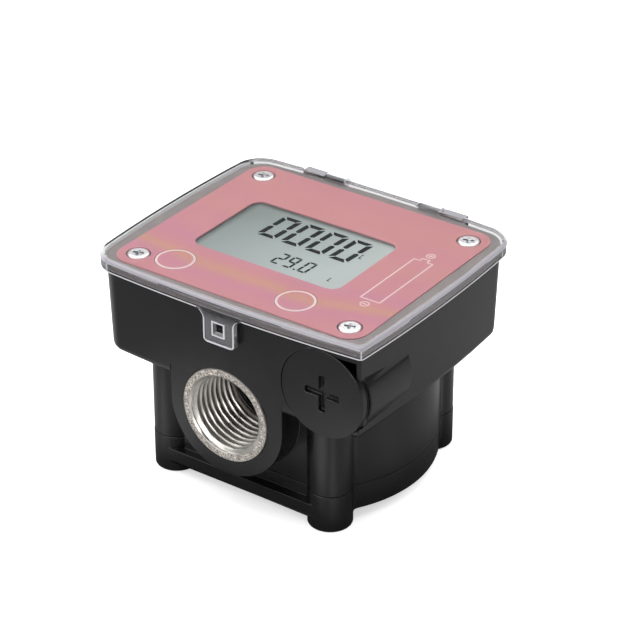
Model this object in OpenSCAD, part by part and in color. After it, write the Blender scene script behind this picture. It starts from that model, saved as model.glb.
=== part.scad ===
// Oval gear flow meter with a hinged clear lid, in millimetres.
// +Z is up, -Y is the front (inlet side), the origin is under the middle of the meter at its feet.

/* [Height of each layer] */
// Feet below the bottom cover
foot_h = 2.9; // [1.5:0.1:6]
// Bottom cover thickness, up to the parting line
cover_t = 7; // [5.5:0.1:9]
// Lower body, from the parting line to the head
lower_h = 21.9; // [21:0.1:26]
// Head, from its underside to its rim
head_h = 22.9; // [22.5:0.1:28]
// Face plate flange
plate_t = 1.15; // [0.9:0.05:1.6]
// Face label film
label_t = 0.25; // [0.2:0.05:0.4]
// Air gap between label and lid
lid_gap = 0.4; // [0.35:0.05:1]
// Lid pane thickness
lid_t = 1.6; // [1.4:0.1:2.4]

/* [Head] */
// Head width at the rim corners
head_w = 74.8; // [74:0.1:80]
// Head depth at the rim corners
head_d = 62.8; // [62:0.1:68]
// Inward draft of each side down to the underside
head_draft = 0.65; // [0.2:0.05:1]
// Outward bow of the left and right sides
bow_x = 1.3; // [0.5:0.1:2]
// Outward bow of the front and back
bow_y = 1.6; // [1:0.1:2]
// Upright corner radius of three corners
corner_r = 5; // [4:0.5:6]
// Upright corner radius beside the battery cap
near_r = 1; // [0.6:0.1:2]
// Radius of the lower edge
head_edge_r = 2; // [1:0.1:2.6]
// Head wall thickness
wall_t = 2.4; // [2.2:0.1:2.8]
// Floor between port inserts and board space
floor_t = 2.6; // [2:0.1:2.8]

/* [Lid] */
// Gap between lid skirt and head
lid_clear = 0.4; // [0.35:0.05:0.8]
// Skirt thickness
lid_wall = 1.2; // [1:0.1:1.6]
// Skirt height below the lid top
lid_drop = 3.4; // [3:0.1:4]
// Height of the back edge below the lid top, kept short so that the lid can swing
lid_back_drop = 1.9; // [1.8:0.05:1.95]
// Rounding of the top edge
lid_edge_r = 1; // [0.4:0.1:1.3]
// Step of the skirt below the top band
lid_step = 0.15; // [0.1:0.05:0.3]
// Latch tab width
tab_w = 9.7; // [8:0.1:14]
// Latch tab height below the lid top
tab_drop = 11.3; // [10:0.1:13]
// Flare radius where the tab leaves the skirt
tab_flare_r = 2; // [1:0.1:3]
// Finger lip at the foot of the tab
tab_lip = 0.5; // [0.3:0.1:0.8]
// Latch hole width
catch_w = 2.9; // [2:0.1:4]
// Latch hole height
catch_h = 3.1; // [2:0.1:3.5]
// Latch hole centre below the lid top
catch_down = 7.2; // [6.5:0.1:7.8]

/* [Hinge] */
// Hinge places, each side of the middle
hinge_x = 17.4; // [14:0.1:24]
// Hinge axis behind the head's rim corners
hinge_back = 2.8; // [2.7:0.05:3.2]
// Hinge axis below the lid top
hinge_down = 1.5; // [1.4:0.05:1.7]
// Radius of the knuckles and ears
knuckle_r = 1.6; // [1.4:0.05:1.65]
// Width of the lid's knuckle, on the inner side of each hinge
knuckle_w = 6; // [3:0.1:7]
// Width of the body's ear, on the outer side of each hinge
ear_w = 6.5; // [3:0.1:7]
// Side gap in the hinge
hinge_side = 0.3; // [0.2:0.05:0.5]
// Hinge pin radius
hinge_pin_r = 0.75; // [0.5:0.05:0.9]

/* [Lower body] */
// Radius of the round drum
drum_r = 33.4; // [33:0.1:36]
// Post radius
post_r = 5.4; // [5:0.1:6]
// Post place from the middle, across
post_x = 23; // [22:0.5:25]
// Post place from the middle, front to back
post_y = 22; // [21.5:0.5:24]
// Front wall behind the posts' outer edge
wall_back = 2.4; // [1:0.1:3]
// Concave blend between post and drum
blend_r = 3; // [2:0.1:4]
// Rounding of the feet
foot_r = 0.5; // [0.3:0.1:1.5]
// Front and back bars of the cover, below the parting line
bar_drop = 3.3; // [2:0.1:4]
// Step along the cover's lower edge
cover_edge = 0.3; // [0.2:0.1:1]

/* [Ports] */
// Port axis above the parting line
port_up = 16.6; // [16.3:0.1:17]
// Half width of the port slab
slab_r = 16.2; // [14.5:0.1:16.2]
// Port slab proud of the head's front, just above the underside
slab_proud = 0.05; // [0.05:0.05:0.15]
// Outer radius of the threaded insert
insert_r = 12.2; // [11.5:0.1:12.6]
// Wall between an insert and the gear chamber
insert_wall = 1.4; // [1.2:0.1:3.8]
// Insert edge proud of the slab
insert_proud = 0.2; // [0.1:0.1:0.6]
// Thread core radius
thread_r = 9.32; // [8.5:0.02:9.6]
// Radius of the chamfered mouth
mouth_r = 10.75; // [10.5:0.05:11]
// Depth of the mouth chamfer
mouth_chamfer = 1.2; // [0.8:0.1:2]
// Radius of the smooth passage behind the thread
passage_r = 8; // [6:0.1:8.5]

/* [Gears] */
// Distance between the gear shafts
gear_centre = 25; // [24.6:0.1:25.6]
// How far the oval swings in and out of its mean radius
gear_swing = 1.9; // [1:0.1:1.9]
// Teeth on each gear, four times a whole number plus two
gear_teeth = 22; // [14:4:22]
// Tooth height outside the pitch oval
tooth_add = 0.35; // [0.2:0.05:0.35]
// Tooth depth inside the pitch oval
tooth_ded = 0.75; // [0.5:0.05:1]
// Chamber height
chamber_h = 17.4; // [14:0.1:17.4]
// Gap above and below a gear
gear_end_gap = 0.3; // [0.2:0.05:0.4]
// Gap between tooth tips and chamber wall
gear_tip_gap = 0.25; // [0.2:0.05:0.4]
// Gear shaft radius
shaft_r = 2.5; // [2:0.1:3]
// Shaft depth in the body
shaft_seat = 2; // [1.5:0.1:2.2]
// Shaft depth in the cover
shaft_foot = 3; // [2:0.1:3.5]
// Running clearance of gears, pins and knuckles
run_fit = 0.05; // [0.03:0.01:0.08]
// Gap between the chamber and its seal
seal_gap = 2.2; // [1.5:0.1:2.4]
// Seal width
seal_w = 2; // [1.5:0.1:2.2]
// Seal height
seal_h = 1.5; // [1:0.1:2]

/* [Display and keys] */
// Label edge inside the head's rim corners, left and right
label_side = 1.9; // [1.1:0.1:2.9]
// Label edge inside the head's rim corners, front and back
label_end = 1.1; // [0.8:0.1:2.1]
// Half the rim's width left beside the window
window_side = 16.3; // [15.4:0.1:18.4]
// Window edge inside the head's rim corners, front and back
window_end = 17.85; // [17.4:0.05:19.4]
// Window centre, across
window_x = -2.7; // [-3.5:0.1:-2]
// Window corner radius
window_r = 3; // [2:0.1:4]
// Glass beyond the window, each side
glass_edge = 2.9; // [1.5:0.1:3]
// Face plate left over the display glass
glass_cover = 0.4; // [0.3:0.05:0.6]
// Display glass thickness
glass_t = 2.95; // [2.4:0.05:3.1]
// Left key inside the label's left edge
reset_in = 14.1; // [13.5:0.1:15.5]
// Right key inside the label's right edge
cal_in = 22; // [21.5:0.1:23.5]
// Both keys inside the label's front edge
key_in = 7.9; // [7.7:0.1:8.3]
// Key radius
key_r = 4.85; // [4:0.05:5]
// Key travel
key_travel = 0.4; // [0.3:0.05:0.5]
// Circuit board thickness
board_t = 1.6; // [1:0.1:1.6]
// Face screws inside the head's rim corners, left and right
screw_side = 7; // [6.6:0.1:7.4]
// Face screws inside the head's rim corners, front and back
screw_end = 6.3; // [6.1:0.1:6.5]
// Face screw head radius
screw_head_r = 2.8; // [2.4:0.1:3]

/* [Battery] */
// Cell radius
cell_r = 7.15; // [6.8:0.05:7.2]
// Head depth that the cell leaves for the cap, the spring and the walls
cell_ends = 12.3; // [11.8:0.1:14.8]
// Battery axis inside the head's rim corners
batt_side = 9.9; // [9.4:0.1:10.4]
// Battery axis above the head's underside
batt_up = 10; // [9.6:0.1:10.2]
// Cap radius
cap_r = 11; // [10.6:0.1:11.2]
// Cap thickness
cap_t = 1.8; // [1.4:0.1:2.2]
// Cap face beyond the head's rim corners
cap_out = 0.6; // [0.4:0.1:0.8]
// Length of the boss behind the cap
boss_len = 17.4; // [14:0.1:19]
// Thread plug radius
plug_r = 8.8; // [8.7:0.05:8.9]
// Thread plug length
plug_len = 7; // [6.5:0.1:8]
// Slot length in the cap
slot_len = 9.5; // [7:0.1:12]
// Slot width in the cap
slot_w = 1.8; // [1.2:0.1:2.4]

/* [Hidden] */
$fn = 64;

// Overrun of every cut
cut = 1;
// Press and seat gap of fixed fits
seat_fit = 0.02;
// Fine gap between stacked or nested parts
fine_gap = 0.1;

// Levels, from the feet up
z_cover = foot_h;
z_part = z_cover + cover_t;
z_head = z_part + lower_h;
z_rim = z_head + head_h;
z_plate = z_rim + plate_t;
z_label = z_plate + label_t;
z_pane = z_label + lid_gap;
z_top = z_pane + lid_t;
port_z = z_part + port_up;
z_floor = port_z + insert_r + floor_t;

// Half sizes of the head's rim and of the lid
head_hx = head_w / 2;
head_hy = head_d / 2;
lid_over = lid_clear + lid_wall;
lid_hx = head_hx + lid_over;
lid_hy = head_hy + lid_over;

// Places on the face and in the head, from the rim corners inwards
label_w = head_w - 2 * label_side;
label_d = head_d - 2 * label_end;
window_w = head_w - 2 * window_side;
window_h = head_d - 2 * window_end;
reset_x = reset_in - label_w / 2;
cal_x = label_w / 2 - cal_in;
key_y = key_in - label_d / 2;
screw_x = head_hx - screw_side;
screw_y = head_hy - screw_end;
batt_x = head_hx - batt_side;
cell_len = head_d - cell_ends;

// Colours
black = "#29292b";
seal_grey = "#3a3a3c";
steel = "#b9bbbe";
zinc = "#a8a49c";
green = "#2f6b45";

// Outline of a rectangle with round corners and bowed sides, anticlockwise from the near corner.
arc_steps = 6;
side_steps = 5;
function arc(cx, cy, r, from) = [for (i = [0 : arc_steps])
    let (a = from + 90 * i / arc_steps) [cx + r * cos(a), cy + r * sin(a)]];
function run(a, b) = [for (i = [1 : side_steps]) a + (b - a) * i / (side_steps + 1)];
function corner_mid(hx, hy, r, near) = [
    [hx - near, near - hy, near, -90], [hx - r, hy - r, r, 0],
    [r - hx, hy - r, r, 90], [r - hx, r - hy, r, 180]];
function corners(hx, hy, r, near) = [for (c = corner_mid(hx, hy, r, near)) arc(c[0], c[1], c[2], c[3])];
function closed(arcs) = [for (i = [0 : 3]) each concat(arcs[i],
    run(arcs[i][arc_steps], arcs[(i + 1) % 4][0]))];
function bow(p, hx, hy) = [p[0] * (1 + bow_x / hx * (1 - pow(p[1] / hy, 2))),
    p[1] * (1 + bow_y / hy * (1 - pow(p[0] / hx, 2)))];
function rim_outline(hx, hy, r, near) = [for (p = closed(corners(hx, hy, r, near))) bow(p, hx, hy)];
// The head's rim outline moved inwards, or outwards where the inset is negative.
function inset_outline(inset, near = near_r) = rim_outline(head_hx - inset, head_hy - inset,
    max(corner_r - inset, near_r / 2), max(near - max(inset, 0), near_r / 4));
function at_height(outline, z) = [for (p = outline) [p[0], p[1], z]];
function head_bow_at(x) = bow_y * (1 - pow(x / head_hx, 2));

// Smooth skin through a stack of outlines with equal point counts.
module loft(rings) {
    n = len(rings[0]);
    last = len(rings) - 1;
    sides = [for (k = [0 : last - 1], i = [0 : n - 1]) let (j = (i + 1) % n)
        each [[k * n + i, k * n + n + i, k * n + n + j], [k * n + i, k * n + n + j, k * n + j]]];
    polyhedron(points = [for (ring = rings) each ring],
        faces = concat([[for (i = [0 : n - 1]) i]], sides,
            [[for (i = [n - 1 : -1 : 0]) last * n + i]]), convexity = 4);
}

module prism(outline, z0, z1) translate([0, 0, z0]) linear_extrude(z1 - z0) polygon(outline);

module rod(r, z0, z1) translate([0, 0, z0]) cylinder(r = r, h = z1 - z0);

// Cylinder along Y between two places.
module rod_y(r, y0, y1) translate([0, y0, 0]) rotate([-90, 0, 0]) cylinder(r = r, h = y1 - y0);

// Box between two corners.
module block(low, high) translate(low) cube(high - low);

module four(x, y) for (sx = [-1, 1], sy = [-1, 1]) translate([sx * x, sy * y, 0]) children();

module round_rect(w, h, r) {
    square([w - 2 * r, h], center = true);
    square([w, h - 2 * r], center = true);
    for (sx = [-1, 1], sy = [-1, 1]) translate([sx * (w / 2 - r), sy * (h / 2 - r)]) circle(r);
}

// Spiral wire with its axis along Z, from one radius to another.
module coil(r0, r1, h, wire, turns) {
    ring_sides = 6;
    turn_rings = 12;
    n = turns * turn_rings;
    rings = [for (k = [0 : n]) let (a = 360 * k / turn_rings, r = r0 + (r1 - r0) * k / n,
        z = wire + (h - 2 * wire) * k / n)
        [for (i = [0 : ring_sides - 1]) let (b = -360 * i / ring_sides)
            [(r + wire * cos(b)) * cos(a), (r + wire * cos(b)) * sin(a), z + wire * sin(b)]]];
    loft(rings);
}

// Lower body and cover
post_proud = 0.1;
flat_y = post_y + post_r - post_proud;
wall_y = flat_y - wall_back;
post_d = norm([post_x, post_y]);
post_a = atan2(post_y, post_x);
drum_reach = drum_r + blend_r;
post_reach = post_r + blend_r;
blend_a = post_a - acos((post_d * post_d + drum_reach * drum_reach - post_reach * post_reach)
    / (2 * post_d * drum_reach));

module drum_plan(half_d, grow = 0) {
    intersection() {
        circle(drum_r + grow, $fn = 128);
        square([2 * drum_r + cut, 2 * half_d], center = true);
    }
    square([2 * post_x, 2 * half_d], center = true);
    for (sx = [0, 1], sy = [0, 1]) mirror([sx, 0]) mirror([0, sy]) {
        translate([post_x, post_y]) circle(post_r + grow);
        difference() {
            polygon([[0, 0], drum_reach * [cos(blend_a), sin(blend_a)], [post_x, post_y]]);
            translate(drum_reach * [cos(blend_a), sin(blend_a)]) circle(blend_r - grow);
        }
    }
}

// Gears and chamber
pitch_m = gear_centre / 2;
chamber_r = pitch_m + gear_swing + tooth_add + gear_tip_gap;
z_ceiling = z_part + chamber_h;
gear_z0 = z_part + gear_end_gap;
gear_h = chamber_h - 2 * gear_end_gap;
// Share of a tooth pitch at the tip and at the root
tip_share = 0.22;
root_share = 0.56;
chamber_cusp = sqrt(chamber_r * chamber_r - pitch_m * pitch_m);

module chamber_plan(grow = 0) for (s = [-1, 1]) translate([s * pitch_m, 0])
    circle(chamber_r + grow, $fn = 128);

function tooth_point(k, u, step) = let (a = 360 * (k + u) / gear_teeth,
    r = pitch_m + gear_swing * cos(2 * a) + step) [r * cos(a), r * sin(a)];
gear_outline = [for (k = [0 : gear_teeth - 1]) each [
    tooth_point(k, root_share / 2 - 1 / 2, -tooth_ded), tooth_point(k, -tip_share / 2, tooth_add),
    tooth_point(k, tip_share / 2, tooth_add), tooth_point(k, 1 / 2 - root_share / 2, -tooth_ded)]];

// Magnets and lightening pockets lie along the gear's long axis.
magnet_r = 1.5;
magnet_h = 3;
magnet_at = (pitch_m + gear_swing + shaft_r) / 2;
pocket_r = magnet_r * 1.7;
pocket_floor = magnet_h * 2;
hub_r = shaft_r * 1.7;
recess_h = gear_end_gap * 2;

module oval_gear(turn, magnets) rotate(turn) difference() {
    translate([0, 0, gear_z0]) linear_extrude(gear_h) polygon(gear_outline);
    rod(shaft_r + run_fit, z_part - cut, z_ceiling + cut);
    for (s = [-1, 1]) translate([s * magnet_at, 0, 0]) {
        rod(pocket_r, z_part - cut, gear_z0 + gear_h - pocket_floor);
        if (magnets) rod(magnet_r + seat_fit, gear_z0 + gear_h - magnet_h, z_ceiling);
    }
    translate([0, 0, gear_z0 - cut]) linear_extrude(cut + recess_h) difference() {
        circle(pitch_m - gear_swing - tooth_ded - recess_h * 2);
        circle(hub_r);
    }
}

// Ports
port_y = head_hy + bow_y - head_draft + slab_proud;
insert_y = port_y + insert_proud;
insert_len = insert_y - chamber_r - insert_wall;
// Half width of the gate between a port and the gear chamber
gate_share = 0.68;
gate_hx = passage_r * gate_share;

module port_insert() difference() {
    translate([0, 0, port_z]) rod_y(insert_r, -insert_y, insert_len - insert_y);
    translate([0, 0, port_z]) rod_y(thread_r, -insert_y - cut, insert_len - insert_y + cut);
    translate([0, -insert_y, port_z]) rotate([-90, 0, 0]) rotate_extrude()
        polygon([[0, -cut], [mouth_r, -cut], [mouth_r, 0], [thread_r, mouth_chamfer],
            [0, mouth_chamfer]]);
}

// Battery parts: everything is measured back from the cap's face.
batt_z = z_head + batt_up;
cap_y = head_hy + cap_out;
cap_back = -cap_y + cap_t;
cap_gap = 0.3;
boss_y = cap_back + fine_gap;
boss_end = boss_y + boss_len;
boss_r = cap_r;
bore_r = plug_r + fine_gap;
plug_end = cap_back + plug_len;
cup_t = 0.3;
plug_wall = 1.1;
cup_out_r = plug_r - plug_wall;
cup_in_r = cup_out_r - cup_t;
root_len = 1.6;
spring_room = 3;
flange_r = plug_r - fine_gap;
flange_end = plug_end + cup_t;
contact_t = 0.4;
mouth_y = flange_end + run_fit;
shoulder_y = mouth_y + contact_t;
cell_side_gap = 0.45;
tube_in_r = cell_r + cell_side_gap;
tube_wall = 2;
tube_out_r = tube_in_r + tube_wall;
cell_y = cap_back + root_len + spring_room;
cell_end = cell_y + cell_len;
rear_y = cell_end + run_fit;
tube_end = rear_y + contact_t + run_fit;
tube_back = tube_end + tube_wall;
seal_cord = 0.9;
groove_r = bore_r - seal_cord - 2 * run_fit;
groove_w = seal_cord + 2 * run_fit;
groove_y = cap_back + (root_len - groove_w) / 2;
// Finger pocket beside the cap
pocket_wall = 1.1;
pocket_end = boss_y + 0.3 * cap_t;

// Board space, from the glass down
glass_z = z_plate - glass_cover - glass_t;
reflector_t = 0.2;
board_gap = 3.7;
board_top = glass_z - board_gap;
board_z = board_top - board_t;
glass_w = window_w + 2 * glass_edge;
glass_h = window_h + 2 * glass_edge;
board_side_gap = 0.4;
board_right = batt_x - boss_r + board_side_gap;
board_left = -head_hx + wall_t + head_draft + board_side_gap;
board_end = 5.2;
board_hy = head_hy - board_end;
inner_near_r = 1.6;
boss_screw_r = 3.5;
face_boss_hole_r = 1.52;
gasket_t = 0.4;
gasket_lip = wall_t / 2;
screw_under = z_rim + gasket_t - run_fit;
face_screw_len = 4;
spigot_h = 2.4;
spigot_t = 1.4;
standoff_r = 2.6;
// Board screws: two at the left edge, one near the front and one near the back
board_screw_left = board_left + standoff_r + fine_gap;
board_screw_side = 12;
board_screw_key_gap = 9.5;
board_screw_mid = cal_x - board_screw_key_gap;
board_screw_in = 5.8;
board_screw_end = board_hy - board_screw_in;
board_screw_places = [[board_screw_left, -board_screw_side], [board_screw_left, board_screw_side],
    [board_screw_mid, -board_screw_end], [board_screw_mid, board_screw_end]];
board_screw_r = 0.9;
board_screw_head_r = 1.7;
board_screw_head_h = 1.1;
board_screw_grip = 4;
// Well for the reed switch over the right gear
well_hx = 5.1;
well_hy = 7.4;
well_floor = 1.1;
well_z = z_ceiling + shaft_seat + well_floor;

// Keys and switches
sleeve_web = 0.6;
sleeve_t = 1.3;
key_t = 0.9;
key_z = z_label - key_t;
stem_r = 2;
switch_h = 3.4;
switch_w = 6;
plunger_r = 1.75;
plunger_flange = 0.4;
switch_roof = 0.7;
plunger_z = board_top + switch_h - switch_roof - fine_gap - plunger_flange - key_travel;
key_ring_gap = 0.15;
sleeve_z = key_z - key_travel - fine_gap - sleeve_web;
stem_z = board_top + switch_h + key_travel + 2 * fine_gap;

module head_outer() {
    steps = 4;
    fillet = [for (i = [0 : steps]) let (a = 90 * i / steps)
        [head_draft + head_edge_r * (1 - sin(a)), z_head + head_edge_r * (1 - cos(a))]];
    loft(concat([for (f = fillet) at_height(inset_outline(f[0]), f[1])],
        [at_height(inset_outline(0), z_rim)]));
}

module head_space() difference() {
    prism(inset_outline(wall_t + head_draft, inner_near_r), z_floor, z_rim + cut);
    translate([batt_x, 0, batt_z]) {
        rod_y(boss_r, -head_d, boss_end);
        rod_y(tube_out_r, 0, tube_back);
    }
    four(screw_x, screw_y) rod(boss_screw_r, z_head, z_rim);
    for (p = board_screw_places) translate([p[0], p[1], 0]) rod(standoff_r, z_head, board_z);
}

// One hinge ear, drawn in the YZ plane.
hinge_y = head_hy + hinge_back;
hinge_z = z_top - hinge_down;
ear_wall = head_hy - wall_t / 2;
module ear_plan() {
    clear_y = head_hy + head_bow_at(hinge_x - knuckle_w) + fine_gap;
    difference() {
        union() {
            translate([hinge_y, hinge_z]) circle(knuckle_r);
            polygon([[ear_wall, z_rim - 3 * knuckle_r], [hinge_y + knuckle_r, z_rim - knuckle_r],
                [hinge_y + knuckle_r, hinge_z], [clear_y, hinge_z], [clear_y, z_rim - fine_gap],
                [ear_wall, z_rim - fine_gap]]);
        }
        translate([hinge_y, hinge_z]) circle(hinge_pin_r + seat_fit);
        translate([ear_wall - cut, z_rim - fine_gap]) square([clear_y - ear_wall + cut, head_h]);
    }
}

module along_x(x0, x1) translate([x0, 0, 0]) rotate([90, 0, 90]) linear_extrude(x1 - x0) children();

// Each hinge has the lid's knuckle on its inner side and the body's ear on its outer side.
hinge_half = (knuckle_w + hinge_side + ear_w) / 2;
hinge_zone = hinge_half + hinge_side;
module hinge_ears() for (s = [0, 1]) mirror([s, 0, 0])
    along_x(hinge_x + hinge_half - ear_w, hinge_x + hinge_half) ear_plan();

catch_z = z_top - catch_down;
tab_in = lid_hy + bow_y - lid_wall;
catch_tip = tab_in - lid_clear + fine_gap;

// Wedge that the latch tab snaps over.
module catch_nose() {
    nose_w = catch_w - 2 * lid_clear;
    nose_h = catch_h - 2 * lid_clear;
    wall = head_hy - head_draft;
    along_x(-nose_w / 2, nose_w / 2) polygon([[-wall, catch_z - nose_h / 2],
        [-wall, catch_z + nose_h / 2], [-wall - bow_y, catch_z + nose_h / 2],
        [-catch_tip, catch_z - nose_h / 4], [-catch_tip, catch_z - nose_h / 2]]);
}

module meter_body() color(black) difference() {
    union() {
        head_outer();
        translate([0, 0, z_part]) linear_extrude(lower_h + head_edge_r) drum_plan(wall_y);
        // Port slab, flush with the bowed front and back
        intersection() {
            union() {
                translate([0, 0, port_z]) rod_y(slab_r, -head_d, head_d);
                block([-slab_r, -head_d, port_z], [slab_r, head_d, z_head + 2 * head_edge_r]);
            }
            prism(inset_outline(head_draft - slab_proud), z_part, z_head + 2 * head_edge_r);
        }
        translate([0, 0, port_z]) rod_y(insert_r + floor_t, head_draft - head_hy, head_hy - head_draft);
        translate([batt_x, 0, batt_z]) rod_y(boss_r, boss_y, boss_end);
        hinge_ears();
        catch_nose();
    }
    head_space();
    prism(inset_outline(gasket_lip), z_rim - gasket_t, z_rim + cut);
    // Gear chamber with its shaft seats
    translate([0, 0, z_part - cut]) linear_extrude(chamber_h + cut) chamber_plan();
    for (s = [-1, 1]) translate([s * pitch_m, 0, 0])
        rod(shaft_r + seat_fit, z_part, z_ceiling + shaft_seat);
    // Ports
    for (s = [0, 180]) rotate(s) translate([0, 0, port_z]) {
        rod_y(insert_r + seat_fit, -head_d, insert_len - insert_y);
        rod_y(passage_r, -head_d, -chamber_r);
        block([-gate_hx, insert_len - insert_y - cut, -gate_hx],
            [gate_hx, cut - chamber_cusp, z_ceiling - port_z]);
    }
    // Battery bore, cap recess and the finger pocket beside the near corner
    translate([batt_x, 0, batt_z]) {
        rod_y(cap_r + cap_gap, -head_d, boss_y);
        rod_y(bore_r, -head_d, shoulder_y);
        rod_y(tube_in_r, -head_d, tube_end);
        difference() {
            block([0, -head_d, 0], [head_hx - batt_x - pocket_wall, pocket_end, z_rim - batt_z - wall_t]);
            rod_y(boss_r, boss_y, boss_end);
        }
    }
    for (y = [mouth_y, rear_y]) block([board_right, y - fine_gap, board_z - fine_gap],
        [batt_x, y + contact_t + fine_gap, board_top + fine_gap]);
    // Screw holes
    four(post_x, post_y) rod(cover_pilot_r, z_part - cut, z_part + cover_grip);
    four(screw_x, screw_y) rod(face_boss_hole_r, screw_under - face_screw_len - fine_gap, z_rim + cut);
    for (p = board_screw_places) translate([p[0], p[1], 0])
        rod(board_screw_r + seat_fit, board_z - board_screw_grip - fine_gap, board_z + cut);
    // Sensor well over the right gear
    block([pitch_m - well_hx, -well_hy, well_z], [pitch_m + well_hx, well_hy, z_floor + cut]);
}

// Cover screws
cover_screw_r = 1.5;
cover_pilot_r = cover_screw_r + seat_fit;
cover_grip = 11;
cover_head_r = 2.9;
cover_head_h = 2.2;
cover_head_up = 1.7;
cover_head_z = z_cover + cover_head_up;
// Feet a little proud of the posts
foot_proud = 0.1;
foot_out_r = post_r + foot_proud;
bar_t = cover_t - bar_drop;

module bottom_cover() color(black) difference() {
    union() {
        translate([0, 0, z_cover]) linear_extrude(cover_edge) drum_plan(flat_y - cover_edge, -cover_edge);
        translate([0, 0, z_cover + cover_edge]) linear_extrude(bar_t - cover_edge) drum_plan(flat_y);
        translate([0, 0, z_cover + bar_t]) linear_extrude(bar_drop) drum_plan(wall_y);
        four(post_x, post_y) rotate_extrude() {
            square([foot_out_r - foot_r, z_part]);
            translate([0, foot_r]) square([foot_out_r, z_part - foot_r]);
            intersection() {
                translate([foot_out_r - foot_r, foot_r]) circle(foot_r);
                square([foot_out_r, foot_r]);
            }
        }
    }
    translate([0, 0, z_part - seal_h]) linear_extrude(seal_h + cut) difference() {
        chamber_plan(seal_gap + seal_w);
        chamber_plan(seal_gap);
    }
    for (s = [-1, 1]) translate([s * pitch_m, 0, 0])
        rod(shaft_r + seat_fit, z_part - shaft_foot, z_part + cut);
    four(post_x, post_y) rotate_extrude() {
        translate([0, -cut]) square([cover_head_r + fine_gap, cover_head_z + cut]);
        square([cover_screw_r + fine_gap, z_part + cut]);
    }
}

module cover_seal() color(seal_grey) translate([0, 0, z_part - seal_h]) linear_extrude(seal_h) difference() {
    chamber_plan(seal_gap + seal_w - fine_gap);
    chamber_plan(seal_gap + fine_gap);
}

// Cross recess for a driver, cut down from a given level.
module cross_recess(len, w, z0, z1) for (a = [0, 90]) rotate(a)
    block([-len / 2, -w / 2, z0], [len / 2, w / 2, z1]);

module cover_screws() color(steel) four(post_x, post_y) difference() {
    union() {
        rod(cover_head_r, cover_head_z - cover_head_h, cover_head_z);
        rod(cover_screw_r, cover_head_z - cover_head_h, z_part + cover_grip - cut);
    }
    cross_recess(cover_head_r * 1.2, cover_head_r / 4, cover_head_z - cover_head_h - cut,
        cover_head_z - cover_head_h / 2);
}

module inlet_insert() color(zinc) port_insert();

module outlet_insert() color(zinc) rotate(180) port_insert();

module gear_shaft(s) color(steel) translate([s * pitch_m, 0, 0])
    rod(shaft_r, z_part - shaft_foot, z_ceiling + shaft_seat);

module left_gear_shaft() gear_shaft(-1);

module right_gear_shaft() gear_shaft(1);

module left_oval_gear() color("#e8e6df") translate([-pitch_m, 0, 0]) oval_gear(90, false);

module right_oval_gear() color("#e8e6df") translate([pitch_m, 0, 0]) oval_gear(0, true);

module gear_magnets() color("#5d6066") for (s = [-1, 1]) translate([pitch_m + s * magnet_at, 0, 0])
    rod(magnet_r, gear_z0 + gear_h - magnet_h, gear_z0 + gear_h);

module reed_switch() color("#c8d8c8") translate([pitch_m, 0, 0]) {
    glass_r = 1.2;
    reed_z = well_z + glass_r + fine_gap;
    half = well_hy - glass_r;
    lead_r = 0.3;
    difference() {
        translate([0, 0, reed_z]) rod_y(glass_r, -half + glass_r, half - glass_r);
        translate([0, 0, reed_z]) rod_y(lead_r, -half - cut, half + cut);
    }
    translate([0, 0, reed_z]) rod_y(lead_r, -half, half);
    for (s = [-1, 1]) translate([0, s * half, 0]) rod(lead_r, reed_z, board_z);
}

// Lid
tab_y = lid_hy + bow_y;

module lid_shell() {
    steps = 4;
    band_z = z_top - lid_edge_r;
    rounding = [for (i = [0 : steps]) let (a = 90 * i / steps)
        [lid_edge_r * (1 - cos(a)) - lid_over, band_z + lid_edge_r * sin(a)]];
    difference() {
        union() {
            loft([for (f = rounding) at_height(inset_outline(f[0]), f[1])]);
            prism(inset_outline(lid_step - lid_over), z_top - lid_drop, band_z);
        }
        prism(inset_outline(-lid_clear), z_top - lid_drop - cut, z_pane);
    }
}

module tab_plan() difference() {
    union() {
        translate([-tab_w / 2, z_top - tab_drop]) square([tab_w, tab_drop - lid_t]);
        translate([-tab_w / 2 - tab_flare_r, z_top - lid_drop - tab_flare_r])
            square([tab_w + 2 * tab_flare_r, tab_flare_r + lid_wall]);
    }
    for (s = [-1, 1]) translate([s * (tab_w / 2 + tab_flare_r), z_top - lid_drop - tab_flare_r])
        circle(tab_flare_r);
    translate([-catch_w / 2, catch_z - catch_h / 2]) square([catch_w, catch_h]);
}

module lid() color("#dfe6ea", 0.35) {
    difference() {
        union() {
            difference() {
                lid_shell();
                // Back edge cut short for the swing
                block([-lid_hx - 2 * bow_x, head_hy - corner_r / 3, z_top - lid_drop - cut],
                    [lid_hx + 2 * bow_x, lid_hy + 2 * bow_y, z_top - lid_back_drop]);
                // Notches for the hinges
                for (s = [-1, 1]) block([s * hinge_x - hinge_zone, hinge_y - knuckle_r - hinge_side,
                    z_rim], [s * hinge_x + hinge_zone, lid_hy + 2 * bow_y, z_top + cut]);
            }
            for (s = [0, 1]) mirror([s, 0, 0])
                along_x(hinge_x - hinge_half, hinge_x - hinge_half + knuckle_w) {
                    translate([hinge_y, hinge_z]) circle(knuckle_r);
                    translate([hinge_y - knuckle_r - lid_wall, z_pane])
                        square([knuckle_r + lid_wall, hinge_z + knuckle_r - z_pane - fine_gap]);
                }
            translate([0, lid_wall - tab_y, 0]) rotate([90, 0, 0]) linear_extrude(lid_wall) tab_plan();
            block([-tab_w / 2, -tab_y - tab_lip, z_top - tab_drop],
                [tab_w / 2, lid_wall - tab_y, z_top - tab_drop + lid_wall]);
        }
        for (s = [-1, 1]) along_x(s * hinge_x - hinge_zone, s * hinge_x + hinge_zone)
            translate([hinge_y, hinge_z]) circle(hinge_pin_r + run_fit);
    }
}

module hinge_pins() color(steel) for (s = [-1, 1]) {
    along_x(s * hinge_x - hinge_half, s * hinge_x + hinge_half)
        translate([hinge_y, hinge_z]) circle(hinge_pin_r);
}

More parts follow.
